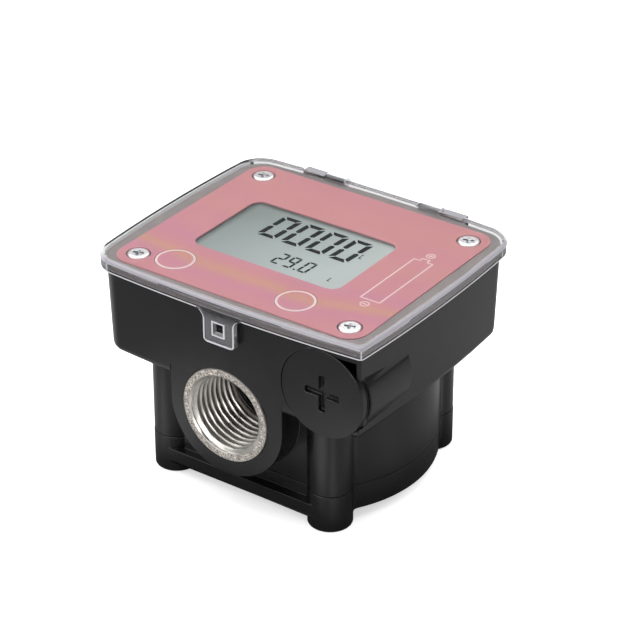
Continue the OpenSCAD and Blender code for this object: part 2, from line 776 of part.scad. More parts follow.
// Face plate
module window_plan(grow = 0) translate([window_x, 0])
    round_rect(window_w + 2 * grow, window_h + 2 * grow, window_r + grow);

module glass_plan(grow = 0) translate([window_x, 0])
    square([glass_w + 2 * grow, glass_h + 2 * grow], center = true);

module face_plate() color("#303033") difference() {
    union() {
        prism(inset_outline(0), z_rim, z_plate);
        difference() {
            prism(inset_outline(wall_t + head_draft + fine_gap, inner_near_r), z_rim - spigot_h,
                z_rim + plate_t / 2);
            prism(inset_outline(wall_t + head_draft + spigot_t, inner_near_r), z_rim - spigot_h - cut,
                z_rim);
        }
        translate([0, 0, glass_z]) linear_extrude(z_plate - plate_t / 2 - glass_z) glass_plan(spigot_t);
        four(screw_x, screw_y) rod(boss_screw_r, z_rim - gasket_t, z_plate - plate_t / 2);
        for (x = [reset_x, cal_x]) translate([x, key_y, 0])
            rod(key_r + sleeve_t, sleeve_z, z_plate - plate_t / 2);
    }
    translate([0, 0, glass_z - cut]) linear_extrude(glass_t + cut) glass_plan(fine_gap);
    translate([0, 0, z_rim - cut]) linear_extrude(plate_t + 2 * cut) window_plan();
    for (x = [reset_x, cal_x]) translate([x, key_y, 0]) {
        rod(key_r + key_ring_gap, sleeve_z + sleeve_web, z_plate + cut);
        rod(stem_r + fine_gap, sleeve_z - cut, z_plate + cut);
    }
    four(screw_x, screw_y) {
        rod(screw_head_r + 2 * fine_gap, screw_under, z_plate + cut);
        rod(face_boss_hole_r + fine_gap, z_rim - spigot_h, z_plate + cut);
        rod(boss_screw_r + fine_gap, z_rim - spigot_h - cut, z_rim - gasket_t);
    }
    // Room for the battery tube under the flange
    translate([batt_x, 0, batt_z]) rod_y(boss_r + lid_clear, -head_d, head_d);
}

module face_gasket() color(seal_grey) difference() {
    prism(inset_outline(gasket_lip + fine_gap), z_rim - gasket_t, z_rim);
    prism(inset_outline(wall_t + head_draft, inner_near_r), z_rim - gasket_t - cut, z_rim + cut);
}

// Label, screws and keys
module face_label() color("#d0868b") difference() {
    translate([0, 0, z_plate]) linear_extrude(label_t) round_rect(label_w, label_d, corner_r);
    translate([0, 0, z_plate - cut]) linear_extrude(label_t + 2 * cut) window_plan();
    for (x = [reset_x, cal_x]) translate([x, key_y, 0])
        rod(key_r + key_ring_gap, z_plate - cut, z_label + cut);
    four(screw_x, screw_y) rod(screw_head_r + 2 * fine_gap, z_plate - cut, z_label + cut);
}

module face_screws() color(steel) four(screw_x, screw_y) difference() {
    union() {
        rod(screw_head_r, screw_under, z_label + fine_gap);
        translate([0, 0, z_label + fine_gap]) rotate_extrude() intersection() {
            translate([0, -dome_r + dome_h]) circle(dome_r, $fn = 96);
            square([screw_head_r, dome_h]);
        }
        rod(face_boss_hole_r - seat_fit, screw_under - face_screw_len, z_label);
    }
    cross_recess(screw_head_r * 1.1, screw_head_r / 4, z_label - label_t * 2, z_top);
}
dome_h = 0.15;
dome_r = (screw_head_r * screw_head_r + dome_h * dome_h) / (2 * dome_h);

module key(x) color("#d0868b") translate([x, key_y, 0]) {
    rod(key_r, key_z, z_label);
    rod(stem_r, stem_z, key_z + fine_gap);
}

module reset_key() key(reset_x);

module cal_key() key(cal_x);

module plunger(x) color("#e9e2c9") translate([x, key_y, 0]) {
    rod(plunger_r, plunger_z + key_travel, stem_z);
    rod(plunger_r + plunger_flange, plunger_z + key_travel, plunger_z + key_travel + plunger_flange);
}

module reset_plunger() plunger(reset_x);

module cal_plunger() plunger(cal_x);

module tact_switch(x) color("#2c2c2e") translate([x, key_y, 0]) difference() {
    block([-switch_w / 2, -switch_w / 2, board_top], [switch_w / 2, switch_w / 2, board_top + switch_h]);
    rod(plunger_r + fine_gap, plunger_z, board_top + switch_h + cut);
    rod(plunger_r + plunger_flange + fine_gap, plunger_z - fine_gap, board_top + switch_h - switch_roof);
}

module reset_switch() tact_switch(reset_x);

module cal_switch() tact_switch(cal_x);

// Display stack and board
module lcd_glass() color("#aebab6") translate([0, 0, glass_z]) linear_extrude(glass_t) glass_plan();

module lcd_reflector() color("#c9ccc6") translate([0, 0, glass_z - reflector_t])
    linear_extrude(reflector_t) translate([window_x, 0]) square([window_w, window_h], center = true);

strip_w = 2.2;
module contact_strips() color("#d58b9a") for (s = [-1, 1])
    translate([window_x, s * (glass_h - strip_w - fine_gap) / 2, board_top])
        linear_extrude(board_gap) square([window_w, strip_w], center = true);

module circuit_board() color(green) difference() {
    block([board_left, -board_hy, board_z], [board_right, board_hy, board_top]);
    boss_reach = boss_screw_r + fine_gap;
    for (s = [0, 1]) mirror([0, s, 0]) block([board_left - cut, screw_y - boss_reach, board_z - cut],
        [boss_reach - screw_x, board_hy + cut, board_top + cut]);
    for (p = board_screw_places) translate([p[0], p[1], 0])
        rod(board_screw_r + fine_gap, board_z - cut, board_top + cut);
}

module board_screws() color(steel) for (p = board_screw_places) translate([p[0], p[1], 0]) {
    rod(board_screw_head_r, board_top, board_top + board_screw_head_h);
    rod(board_screw_r, board_z - board_screw_grip, board_top + board_screw_head_h / 2);
}

chip_w = 10;
chip_h = 1.4;
module controller_chip() color("#202022") translate([window_x, 0, 0])
    block([-chip_w / 2, -chip_w / 2, board_top], [chip_w / 2, chip_w / 2, board_top + chip_h]);

crystal_r = 1;
crystal_len = 6;
module timing_crystal() color("#c2c4c6") translate([window_x + chip_w, 0, board_top + crystal_r])
    rod_y(crystal_r, -crystal_len / 2, crystal_len / 2);

// Battery group
module battery_cell() color("#6f7f8f") translate([batt_x, 0, batt_z]) rod_y(cell_r, cell_y, cell_end);

module battery_cap() color(black) translate([batt_x, 0, batt_z]) difference() {
    union() {
        rod_y(cap_r, -cap_y, cap_back);
        rod_y(plug_r, cap_back - cut / 2, plug_end);
    }
    rod_y(cup_out_r + seat_fit, cap_back + root_len, plug_end + cut);
    translate([0, groove_y, 0]) rotate([-90, 0, 0]) linear_extrude(groove_w) difference() {
        circle(plug_r + cut);
        circle(groove_r);
    }
    slot_depth = cap_t * 2 / 3;
    for (a = [0, 90]) rotate([0, a, 0])
        block([-slot_len / 2, -cap_y - cut, -slot_w / 2], [slot_len / 2, -cap_y + slot_depth, slot_w / 2]);
}

module cap_seal() color(seal_grey) translate([batt_x, groove_y + groove_w / 2, batt_z])
    rotate([90, 0, 0]) rotate_extrude() translate([groove_r + run_fit + seal_cord / 2, 0])
        circle(seal_cord / 2, $fn = 32);

module cap_contact() color(steel) translate([batt_x, 0, batt_z]) difference() {
    union() {
        rod_y(cup_out_r, cap_back + root_len, flange_end);
        rod_y(flange_r, plug_end, flange_end);
    }
    rod_y(cup_in_r, cap_back + root_len + cup_t, flange_end + cut);
}

spring_wire = 0.35;
module cap_spring() color(steel) translate([batt_x, cap_back + root_len + cup_t, batt_z])
    rotate([-90, 0, 0]) coil(cell_r * 0.75, cell_r * 0.35, spring_room - cup_t - run_fit, spring_wire, 3);

// Tab from a battery contact to the edge of the board.
module contact_tab(y) block([board_right, y, board_z], [batt_x, y + contact_t, board_top - fine_gap]);

module mouth_contact() color(steel) difference() {
    union() {
        translate([batt_x, 0, batt_z]) rod_y(bore_r - fine_gap, mouth_y, shoulder_y);
        contact_tab(mouth_y);
    }
    translate([batt_x, 0, batt_z]) rod_y(tube_in_r, mouth_y - cut, shoulder_y + cut);
}

module rear_contact() color(steel) {
    translate([batt_x, 0, batt_z]) rod_y(tube_in_r - 3 * fine_gap, rear_y, rear_y + contact_t);
    contact_tab(rear_y);
}

meter_body();
bottom_cover();
cover_seal();
cover_screws();
inlet_insert();
outlet_insert();
left_gear_shaft();
right_gear_shaft();
left_oval_gear();
right_oval_gear();
gear_magnets();
reed_switch();
lid();
hinge_pins();
face_plate();
face_gasket();
face_label();
face_screws();
lcd_glass();
lcd_reflector();
contact_strips();
circuit_board();
board_screws();
controller_chip();
timing_crystal();
reset_switch();
cal_switch();
reset_plunger();
cal_plunger();
reset_key();
cal_key();
battery_cell();
battery_cap();
cap_seal();
cap_contact();
cap_spring();
mouth_contact();
rear_contact();
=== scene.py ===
import math

import bmesh
import bpy
from mathutils import Matrix, Vector


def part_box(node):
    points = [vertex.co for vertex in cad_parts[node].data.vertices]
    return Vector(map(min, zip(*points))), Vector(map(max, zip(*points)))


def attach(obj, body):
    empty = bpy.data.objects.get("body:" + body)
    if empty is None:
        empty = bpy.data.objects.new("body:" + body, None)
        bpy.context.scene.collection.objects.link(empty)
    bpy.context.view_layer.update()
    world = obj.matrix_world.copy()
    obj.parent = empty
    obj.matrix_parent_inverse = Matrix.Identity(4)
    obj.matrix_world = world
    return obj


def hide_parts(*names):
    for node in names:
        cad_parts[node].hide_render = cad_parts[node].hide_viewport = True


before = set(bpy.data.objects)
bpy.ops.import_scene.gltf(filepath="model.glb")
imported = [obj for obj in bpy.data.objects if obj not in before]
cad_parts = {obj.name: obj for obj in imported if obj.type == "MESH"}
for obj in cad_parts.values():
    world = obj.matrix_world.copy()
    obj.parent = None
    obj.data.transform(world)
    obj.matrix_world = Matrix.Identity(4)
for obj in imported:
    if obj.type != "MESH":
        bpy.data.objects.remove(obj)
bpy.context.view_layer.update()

bl_info = {
    "name": "Oval gear flow meter",
    "version": (1, 0, 0),
    "blender": (4, 5, 0),
    "location": "View3D > Sidebar > Flow Meter",
    "description": "Dresses the packed flow meter with moulded, threaded and printed detail",
    "category": "Object",
}

MM = 0.001
FAR = 60 * MM           # past every side of the meter
OVERRUN = 1.0 * MM      # how far a cutting tool reaches past what it cuts
NEAR = 0.01 * MM        # points closer than this lie on one level

# Material slots of the lid, and of the port inserts.
# On the lid, BAND holds painted light, SKIRT painted shade and light, LINE painted highlights.
PANE, BAND, SKIRT, LINE = range(4)
BORE, RIM = range(2)

# The photograph's camera, in metres along the frame's axes.
CAMERA_PLACE = (0.3012, -0.4223, 0.3344)
CAMERA_LOOK = (-0.4987, 0.7100, -0.4973)
CAMERA_RIGHT = (0.8183, 0.5748, 0.0)
SENSOR_WIDTH_MM = 36.0
FOCAL_PIXELS, IMAGE_PIXELS = 2469, 640

# Painted reflections: the sweep's brightness as only reflections see it, close by and far off: degrees round
# the meter, brightness.
PAINTED_REFLECTION_NEAR = ((-180, 0.5), (-155, 0.4), (-138, 0.4), (-127, 0.85), (-119, 0.7), (-110, 0.4), (-98, 0.45),
              (-84, 0.7), (-72, 0.9), (-62, 0.7), (-54, 0.35), (-44, 0.7), (-33, 0.32), (-16, 0.32),
              (0, 0.4), (12, 0.3), (45, 0.3), (75, 0.45), (120, 0.5), (180, 0.3))
PAINTED_REFLECTION_FAR = ((-180, 0.5), (-155, 0.35), (-140, 0.2), (-84, 0.2), (-60, 0.3), (-20, 0.4), (15, 0.36),
             (60, 0.3), (150, 0.3), (180, 0.5))
# Distances from the middle between which the painted shadow round the foot gives way to near, and near to
# far.
PAINTED_SHADOW_ENDS, NEAR_ENDS = (40 * MM, 54 * MM), (75 * MM, 95 * MM)
# Brightness of the painted shadow round the foot, as only reflections see it.
PAINTED_SHADOW_LEVEL = 0.1


# ---------------------------------------------------------------- sizes and colours

def srgb(hex_code):
    """Turns an sRGB hex value into Blender's linear red, green and blue."""
    parts = [int(hex_code[i:i + 2], 16) / 255 for i in (1, 3, 5)]
    return tuple(c / 12.92 if c <= 0.04045 else ((c + 0.055) / 1.055) ** 2.4 for c in parts)


def length(name, default_mm, description, low_mm=0.0):
    """A length property whose default is given in millimetres."""
    return bpy.props.FloatProperty(name=name, description=description, default=default_mm * MM,
                                   min=low_mm * MM, precision=5, subtype="DISTANCE", unit="LENGTH")


def coordinate(name, default_mm, description):
    """A place along an axis, which may be negative."""
    return length(name, default_mm, description, -100.0)


def share(name, default, description):
    """A plain factor."""
    return bpy.props.FloatProperty(name=name, description=description, default=default,
                                   min=0.0, max=2.0, subtype="FACTOR")


def count(name, default, low, high, description):
    """A whole number."""
    return bpy.props.IntProperty(name=name, description=description, default=default, min=low, max=high)


def colour(name, hex_code, description):
    """A colour property whose default is an sRGB hex value."""
    return bpy.props.FloatVectorProperty(name=name, description=description, subtype="COLOR",
                                         size=3, min=0.0, max=1.0, default=srgb(hex_code))


class METER_PG_head(bpy.types.PropertyGroup):
    """The head's rim, which the lid follows, its ears and its battery tube."""
    half_x: length("Half width", 37.4, "Half width of the head's rim at its corners")
    half_y: length("Half depth", 31.4, "Half depth of the head's rim at its corners")
    bow_x: length("Side bow", 1.3, "Outward bow of the left and right sides")
    bow_y: length("Front bow", 1.6, "Outward bow of the front and back")
    corner: length("Corner radius", 5.0, "Radius of three upright corners")
    near: length("Near corner radius", 1.0, "Radius of the corner beside the battery cap")
    rim: length("Rim height", 54.7, "Height of the head's rim above the feet")
    ear_top: length("Ear height", 57.5, "Flat top of the hinge ears above the feet")
    tube_out: length("Tube stand-out", 0.9, "How far the battery tube stands out of the head's side")
    tube_skin: length("Tube skin", 0.6, "How deep the tube's crescent goes into the side")
    tube_start: length("Tube start", 2.6, "Front end of the crescent behind the cap's face")
    tube_end: length("Tube end", 19.3, "Back end of the crescent behind the cap's face")
    moulded_edge: length("Moulded edge", 0.22, "Rounding of the moulded edges")


class METER_PG_lid(bpy.types.PropertyGroup):
    """Sizes of the clear lid."""
    clear: length("Clearance", 0.4, "Gap between the skirt and the head")
    wall: length("Skirt wall", 1.2, "Thickness of the skirt")
    top: length("Top height", 58.1, "Height of the lid's top")
    pane: length("Pane", 1.6, "Thickness of the pane")
    edge: length("Edge radius", 1.0, "Rounding of the top edge")
    step: length("Band step", 0.15, "How far the skirt stands back under the top band")
    drop: length("Skirt drop", 3.4, "Height of the skirt below the top")
    back_drop: length("Back drop", 1.9, "Height of the back edge below the top")
    edge_line: length("Edge line", 0.2, "Width of the bright edges")
    tab_width: length("Tab width", 8.8, "Width of the latch tab")
    tab_x: length("Tab place", 0.45, "Tab middle right of the lid's middle")
    tab_drop: length("Tab drop", 11.3, "Foot of the latch tab below the top")
    flare: length("Tab flare", 2.0, "Radius where the tab leaves the skirt")
    toe: length("Tab toe", 0.9, "Corner radius of the tab's foot")
    lip: length("Tab lip", 0.3, "How far the finger lip stands out at the tab's foot")
    lip_height: length("Lip height", 0.5, "Height of the finger lip")
    bead: length("Bead", 0.4, "Width of the bead along the tab and round its hole")
    bead_out: length("Bead stand-out", 0.15, "How far the tab's bead stands out")
    ring_out: length("Hole ring stand-out", 0.3, "How far the bead round the hole stands out")
    hole_width: length("Hole width", 2.9, "Width of the latch hole")
    hole_height: length("Hole height", 3.1, "Height of the latch hole")
    hole_down: length("Hole place", 7.2, "Latch hole centre below the top")
    hinge_x: length("Hinge place", 17.4, "Hinge places, each side of the middle")
    hinge_back: length("Hinge back", 2.8, "Hinge axis behind the head's rim corners")
    hinge_down: length("Hinge down", 1.5, "Hinge axis below the top")
    knuckle: length("Knuckle radius", 1.6, "Radius of the lid's knuckles")
    knuckle_width: length("Knuckle width", 6.0, "Width of the lid's knuckles")
    web_down: length("Web down", 0.1, "Top of the knuckle's web below the knuckle's top")
    ear_width: length("Ear width", 6.5, "Width of each ear on the head")
    pin: length("Pin hole radius", 0.8, "Radius of the hole for the hinge pin")
    side: length("Side gap", 0.3, "Side gap in the hinge")


class METER_PG_port(bpy.types.PropertyGroup):
    """Threaded port insert, for a G1/2 pipe thread."""
    core: length("Core radius", 9.32, "Radius inside the thread crests")
    depth: length("Thread depth", 1.16, "Depth of the thread groove")
    pitch: length("Pitch", 1.814, "Thread pitch, 14 turns to the inch")
    runout: share("Run-out", 1.4, "Turns over which the thread fades at its inner end")
    mouth: length("Mouth radius", 10.5, "Radius of the chamfered mouth")
    chamfer: length("Mouth depth", 0.9, "Depth of the mouth chamfer")
    edge: length("Outer edge", 0.15, "Chamfer of the insert's outer edge")
    rings_per_turn: count("Rings in a turn", 14, 6, 32, "Edge rings along one thread turn")
    sides: count("Sides", 96, 24, 192, "Points round the bore")


class METER_PG_face(bpy.types.PropertyGroup):
    """Label, window and keys."""
    label_width: length("Label width", 71.0, "Width of the printed film")
    label_depth: length("Label depth", 60.6, "Depth of the printed film")
    label_edge: length("Label edge", 0.05, "Rounding of the film's cut edge")
    window_x: length("Window place", 2.7, "Window centre left of the middle")
    window_width: length("Window width", 42.2, "Width of the display window")
    window_height: length("Window height", 27.1, "Height of the display window")
    window_corner: length("Window corner", 3.0, "Corner radius of the display window")
    screw_hole: length("Screw hole radius", 3.0, "Radius of the film's holes for the screws")
    key_radius: length("Key radius", 4.85, "Radius of the two keys")
    key_gap: length("Key gap", 0.15, "Gap between a key and the film")
    key_height: length("Key height", 0.9, "Thickness of a key's disc")
    key_edge: length("Key edge", 0.06, "Rounding of the keys' edges")
    key_ring: length("Key ring", 0.62, "Width of the pale ring round each key")
    key_step: length("Key step", 0.12, "Width of the slope inside the ring")
    key_sink: length("Key sink", 0.06, "Depth of the slope inside the ring")
    key_dome: length("Key dome", 1.4, "Width of the slope up to the key's middle")
    key_rise: length("Key rise", 0.05, "Rise of the key's middle")
    stem_radius: length("Stem radius", 2.0, "Radius of the keys' stems")
    ink: length("Ink", 0.02, "Thickness of printed lines and display segments")


class METER_PG_mark(bpy.types.PropertyGroup):
    """Plain battery symbol printed on the film: an outline with a nub, and a plus and a minus in rings."""
    x: coordinate("Middle", 27.2, "Middle of the symbol, right of the label's middle")
    width: length("Width", 5.2, "Width of the outline")
    low: coordinate("Lower end", -12.3, "Lower end of the outline")
    high: coordinate("Upper end", 10.2, "Upper end of the outline")
    nub_width: length("Nub width", 2.0, "Width of the nub")
    nub_top: coordinate("Nub end", 11.4, "Upper end of the nub")
    plus_y: coordinate("Plus place", 13.4, "Middle of the plus")
    minus_y: coordinate("Minus place", -14.5, "Middle of the minus")
    arm: length("Sign arm", 0.6, "Half length of the strokes of plus and minus")
    ring: length("Ring radius", 1.05, "Radius of the rings round plus and minus")
    line: length("Line", 0.34, "Width of the symbol's lines")
    ring_line: length("Ring line", 0.28, "Width of the rings' lines")
    lap: length("Lap", 0.1, "How far the lines run past their corners")


class METER_PG_figures(bpy.types.PropertyGroup):
    """Plain numbers on the display."""
    height: length("Height", 11.3, "Height of the large figures")
    width: length("Width", 5.5, "Width of the large figures")
    pitch: length("Pitch", 6.95, "Step from figure to figure")
    stroke: length("Stroke", 1.35, "Width of a large figure's segments")
    left: coordinate("Left", -14.35, "Left edge of the first large figure")
    small_height: length("Small height", 5.5, "Height of the small figures")
    small_width: length("Small width", 2.55, "Width of the small figures")
    small_stroke: length("Small stroke", 0.62, "Width of a small figure's segments")
    small_y: coordinate("Small place", -9.75, "Foot of the small figures")
    point_left: length("Point left", 3.4, "Left edge of the decimal point")
    point_width: length("Point width", 0.55, "Width of the decimal point")
    point_height: length("Point height", 0.6, "Height of the decimal point")
    gap: share("Gap", 0.22, "Gap between segments as a share of their width")
    slant: share("Slant", 0.06, "Lean of the figures as a share of their height")


class METER_PG_screw(bpy.types.PropertyGroup):
    """Face screws: M3 with a pan head."""
    head: length("Head radius", 2.8, "Radius of the pan head")
    head_height: length("Head height", 1.3, "Height of the pan head")
    crown: length("Crown", 0.84, "Rounding of the head's top")
    shank: length("Shank radius", 1.5, "Radius of the shank")
    cross_length: length("Cross length", 3.78, "Length of the cross recess")
    cross_width: length("Cross width", 0.952, "Width of the cross recess")
    cross_depth: length("Cross depth", 1.82, "Depth of the cross recess at its point")
    cross_toe: share("Cross toe", 0.45, "Length of the recess at its point, of that at its top")
    cross_thin: share("Cross thin", 0.6, "Width of the recess at its point, of that at its top")
    cross_turn: count("Cross turn", 20, 0, 90, "Degrees by which the recess is turned from the label's sides")


class METER_PG_cap(bpy.types.PropertyGroup):
    """Battery cap with its coin cross and its threaded plug."""
    grow: length("Disc over size", 0.3, "Disc radius beyond that of the plain solid")
    disc: length("Disc", 1.8, "Thickness of the disc")
    edge: length("Disc edge", 0.14, "Rounding of the disc's edges")
    cross_length: length("Cross length", 9.5, "Length of the coin cross")
    cross_width: length("Cross width", 2.4, "Width of the coin cross")
    cross_depth: length("Cross depth", 0.9, "Depth of the coin cross")
    cross_corner: length("Cross corner", 0.5, "Rounding of the cross's ends")
    outer: length("Plug radius", 8.8, "Radius of the plug over its thread")
    inner: length("Plug bore", 7.72, "Radius of the plug's hollow")
    floor: length("Plug floor", 1.6, "Floor of the plug, and start of its thread")
    groove: length("Groove radius", 7.9, "Radius at the bottom of the seal's groove")
    groove_start: length("Groove start", 0.3, "Front of the groove behind the disc")
    groove_end: length("Groove end", 1.3, "Back of the groove behind the disc")
    pitch: length("Pitch", 2.0, "Thread pitch of the plug")
    depth: length("Thread depth", 0.75, "Depth of the plug's thread")
    fade: length("Thread fade", 1.0, "Length over which the thread fades at both ends")
    rings: count("Rings", 66, 20, 160, "Edge rings along the plug")
    sides: count("Sides", 96, 24, 192, "Points round the plug")


class METER_PG_finish(bpy.types.PropertyGroup):
    """Colours of the finishes."""
    moulding: colour("Black moulding", "#151516", "Black housing")
    # Painted light: the black hinge ears are painted pale grey, as they look through the lid's edge.
    ear: colour("Hinge ears", "#918f95", "Hinge ears, seen through the lid's edge")
    face_rim: colour("Face rim", "#a8a09f", "Flange round the label")
    film: colour("Label film", "#df9ba2", "Printed film")
    film_mauve: colour("Label mauve", "#dc99aa", "Mauve tint in the film")
    film_peach: colour("Label peach", "#dda593", "Peach tint in the film")
    print_pale: colour("Pale print", "#ffe9e9", "Pale lines printed on the film")
    display: colour("Display", "#cbd4d2", "Display behind its glass")
    # Painted shade: the display's left and back side is painted darker.
    display_painted_shade: colour("Display, dim side", "#939e9b", "Shaded side of the display")
    digits: colour("Digits", "#121517", "Display digits")
    lid: colour("Clear lid", "#fdfefe", "Clear lid")
    # Painted light on the lid's rounded edge, with painted shade where it meets the pane.
    lid_band_painted_light: colour("Lid edge band", "#b9b6be", "Rounded edge of the lid")
    lid_band_top_painted_shade: colour("Lid edge band, top", "#969298", "Where the rounded edge meets the pane")
    lid_band_far_painted_light: colour("Lid edge band, far sides", "#eeeef1", "Left and back edge, before the backdrop")
    # Painted shade: the clear skirt is tinted grey for the dark head seen through it.
    lid_skirt_painted_shade: colour("Lid skirt", "#a2a2a6", "Skirt of the lid, over the black head")
    # Painted highlights along the lid's sharp edges.
    lid_line_painted_highlight: colour("Lid edge lines", "#d9d8de", "Sharp edges of the lid")
    port: colour("Port metal", "#dcd8d2", "Turned port insert")
    port_rim: colour("Port rim", "#aaa49d", "Cut face of the port insert")
    steel: colour("Steel", "#e8e8ea", "Plated steel")
    acetal: colour("Acetal", "#e6e3da", "Oval gears")
    magnet: colour("Magnet", "#5a5c60", "Sintered magnets in the right gear")
    rubber: colour("Rubber", "#1f1f20", "Seals")
    strip: colour("Silicone", "#d58b9a", "Display contact strips")
    board: colour("Board", "#1f5a33", "Circuit board")
    chip: colour("Epoxy", "#1c1c1e", "Chips and switches")
    reed: colour("Reed glass", "#a9bda9", "Glass tube of the reed switch")
    sleeve: colour("Cell sleeve", "#5b6f86", "Battery sleeve")
    floor: colour("Floor", "#f4f4f4", "Floor and backdrop")


class METER_PG_all(bpy.types.PropertyGroup):
    """All sizes and colours of the meter."""
    head: bpy.props.PointerProperty(type=METER_PG_head)
    lid: bpy.props.PointerProperty(type=METER_PG_lid)
    port: bpy.props.PointerProperty(type=METER_PG_port)
    face: bpy.props.PointerProperty(type=METER_PG_face)
    mark: bpy.props.PointerProperty(type=METER_PG_mark)
    figures: bpy.props.PointerProperty(type=METER_PG_figures)
    screw: bpy.props.PointerProperty(type=METER_PG_screw)
    cap: bpy.props.PointerProperty(type=METER_PG_cap)
    finish: bpy.props.PointerProperty(type=METER_PG_finish)


def sizes():
    """The scene's property groups, in metres and linear colours."""
    return bpy.context.scene.flow_meter


# ---------------------------------------------------------------- modelling helpers

def start_alone():
    """Goes to object mode and leaves nothing selected."""
    if bpy.context.mode != "OBJECT":
        bpy.ops.object.mode_set(mode="OBJECT")
    bpy.ops.object.select_all(action="DESELECT")


def take(piece):
    """Makes one piece the only selected and active one."""
    start_alone()
    piece.select_set(True)
    bpy.context.view_layer.objects.active = piece
    return piece


def freeze(piece):
    """Puts the piece's place, turn and scale into its mesh."""
    take(piece)
    bpy.ops.object.transform_apply(location=True, rotation=True, scale=True)
    return piece


def copy_of(piece, move):
    """A copy with its own mesh, moved or turned by a matrix."""
    other = piece.copy()
    other.data = piece.data.copy()
    other.data.transform(move)
    bpy.context.scene.collection.objects.link(other)
    return other


def box(low, high):
    """A cube primitive between two corners."""
    start_alone()
    low, high = Vector(low), Vector(high)
    bpy.ops.mesh.primitive_cube_add(size=1.0, location=(low + high) / 2)
    piece = bpy.context.active_object
    piece.scale = high - low
    return freeze(piece)


def rod(radius, start, end, sides=64):
    """A cylinder primitive from one point to another."""
    start_alone()
    start, end = Vector(start), Vector(end)
    along = end - start
    turn = along.to_track_quat("Z", "Y").to_euler()
    bpy.ops.mesh.primitive_cone_add(vertices=sides, radius1=radius, radius2=radius, depth=along.length,
                                    location=(start + end) / 2, rotation=turn)
    return freeze(bpy.context.active_object)


def pick(piece, kind, test):
    """In edit mode, selects the vertices, edges or faces that pass the test."""
    bpy.ops.mesh.select_mode(type={"verts": "VERT", "edges": "EDGE", "faces": "FACE"}[kind])
    bpy.ops.mesh.select_all(action="DESELECT")
    mesh = bmesh.from_edit_mesh(piece.data)
    for element in getattr(mesh, kind):
        if test(element):
            element.select_set(True)
    mesh.select_flush_mode()
    bmesh.update_edit_mesh(piece.data)


def edit(piece):
    """Takes a piece into edit mode."""
    take(piece)
    bpy.ops.object.mode_set(mode="EDIT")
    return piece


def leave():
    """Goes back to object mode."""
    bpy.ops.object.mode_set(mode="OBJECT")


def outward():
    """In edit mode, turns all faces outwards."""
    bpy.ops.mesh.select_all(action="SELECT")
    bpy.ops.mesh.normals_make_consistent(inside=False)


def raise_rings(rings):
    """A closed skin through outlines of equal point counts: a filled circle extruded level by level."""
    start_alone()
    bpy.ops.mesh.primitive_circle_add(vertices=len(rings[0]), radius=MM, fill_type="NGON")
    piece = bpy.context.active_object
    for vertex, point in zip(piece.data.vertices, rings[0]):
        vertex.co = point
    edit(piece)
    bpy.ops.mesh.select_all(action="SELECT")
    for lower, upper in zip(rings, rings[1:]):
        bpy.ops.mesh.extrude_region_move(TRANSFORM_OT_translate={"value": (0, 0, 0)})
        mesh = bmesh.from_edit_mesh(piece.data)
        level = {tuple(round(c, 8) for c in point): i for i, point in enumerate(lower)}
        for vertex in mesh.verts:
            if vertex.select:
                vertex.co = upper[level[tuple(round(c, 8) for c in vertex.co)]]
        bmesh.update_edit_mesh(piece.data)
    outward()
    leave()
    return piece


def plate(outline, z0, z1):
    """A flat plate of any outline."""
    return raise_rings([at_height(outline, z0), at_height(outline, z1)])


def modify(piece, kind, **settings):
    """Adds a modifier and applies it."""
    take(piece)
    made = piece.modifiers.new(kind.title(), kind)
    for key, value in settings.items():
        setattr(made, key, value)
    bpy.ops.object.modifier_apply(modifier=made.name)
    return piece


def combine(piece, others, operation):
    """Boolean of a piece with others, which are used up."""
    for other in others:
        modify(piece, "BOOLEAN", object=other, operation=operation, solver="EXACT")
        bpy.data.objects.remove(other)
    return piece


def cut(piece, *tools):
    """Takes the tools' shapes away from the piece."""
    return combine(piece, tools, "DIFFERENCE")


def weld(piece, *others):
    """Makes one solid of the piece and others that overlap it."""
    return combine(piece, others, "UNION")


def join(first, *others):
    """Joins separate solids into one piece without a boolean."""
    start_alone()
    for each in (*others, first):
        each.select_set(True)
    bpy.context.view_layer.objects.active = first
    bpy.ops.object.join()
    return first


def clean(piece, merge=0.001 * MM, flat=0.3):
    """Joins double points and clears the cuts inside flat areas, up to an angle in degrees."""
    edit(piece)
    bpy.ops.mesh.select_all(action="SELECT")
    bpy.ops.mesh.remove_doubles(threshold=merge)
    bpy.ops.mesh.dissolve_limited(angle_limit=math.radians(flat))
    leave()
    return piece


def round_edges(piece, width, segments=2, angle=32.0, clamp=True, material=-1):
    """Rounds every edge sharper than the angle, in a material slot of its own where one is given."""
    if material > 0:
        piece.data.materials.clear()
        for _ in range(material + 1):
            piece.data.materials.append(None)
    modify(piece, "BEVEL", width=width, segments=segments, limit_method="ANGLE",
           angle_limit=math.radians(angle), use_clamp_overlap=clamp, material=material)
    return smooth(piece)


def smooth(piece, angle=35.0):
    """Smooth shading that leaves large flat faces flat."""
    take(piece)
    bpy.ops.object.shade_smooth_by_angle(angle=math.radians(angle))
    return modify(piece, "WEIGHTED_NORMAL", keep_sharp=True, weight=100)


def reach(vertex, radius, x, z):
    """Moves a point out to a radius from an axis that runs front to back."""
    angle = math.atan2(vertex.co.z - z, vertex.co.x - x)
    vertex.co.x = x + radius * math.cos(angle)
    vertex.co.z = z + radius * math.sin(angle)


def widen(piece, radius, x, z):
    """In edit mode, moves the selected points out to a radius."""
    mesh = bmesh.from_edit_mesh(piece.data)
    for vertex in [v for v in mesh.verts if v.select]:
        reach(vertex, radius, x, z)
    bmesh.update_edit_mesh(piece.data)


def extrude_ring(along_y=0.0):
    """In edit mode, extrudes the selected ring of edges front to back."""
    bpy.ops.mesh.extrude_edges_move(TRANSFORM_OT_translate={"value": (0, along_y, 0)})


def thread_height(turn):
    """Rounded 55 degree thread form, 0 at its crest and 1 at its root."""
    flat = 0.1      # share of the flank's run that stays at the crest, and at the root
    t = abs(2 * (turn % 1.0) - 1)
    t = min(max((t - flat) / (1 - 2 * flat), 0.0), 1.0)
    return t * t * (3 - 2 * t)


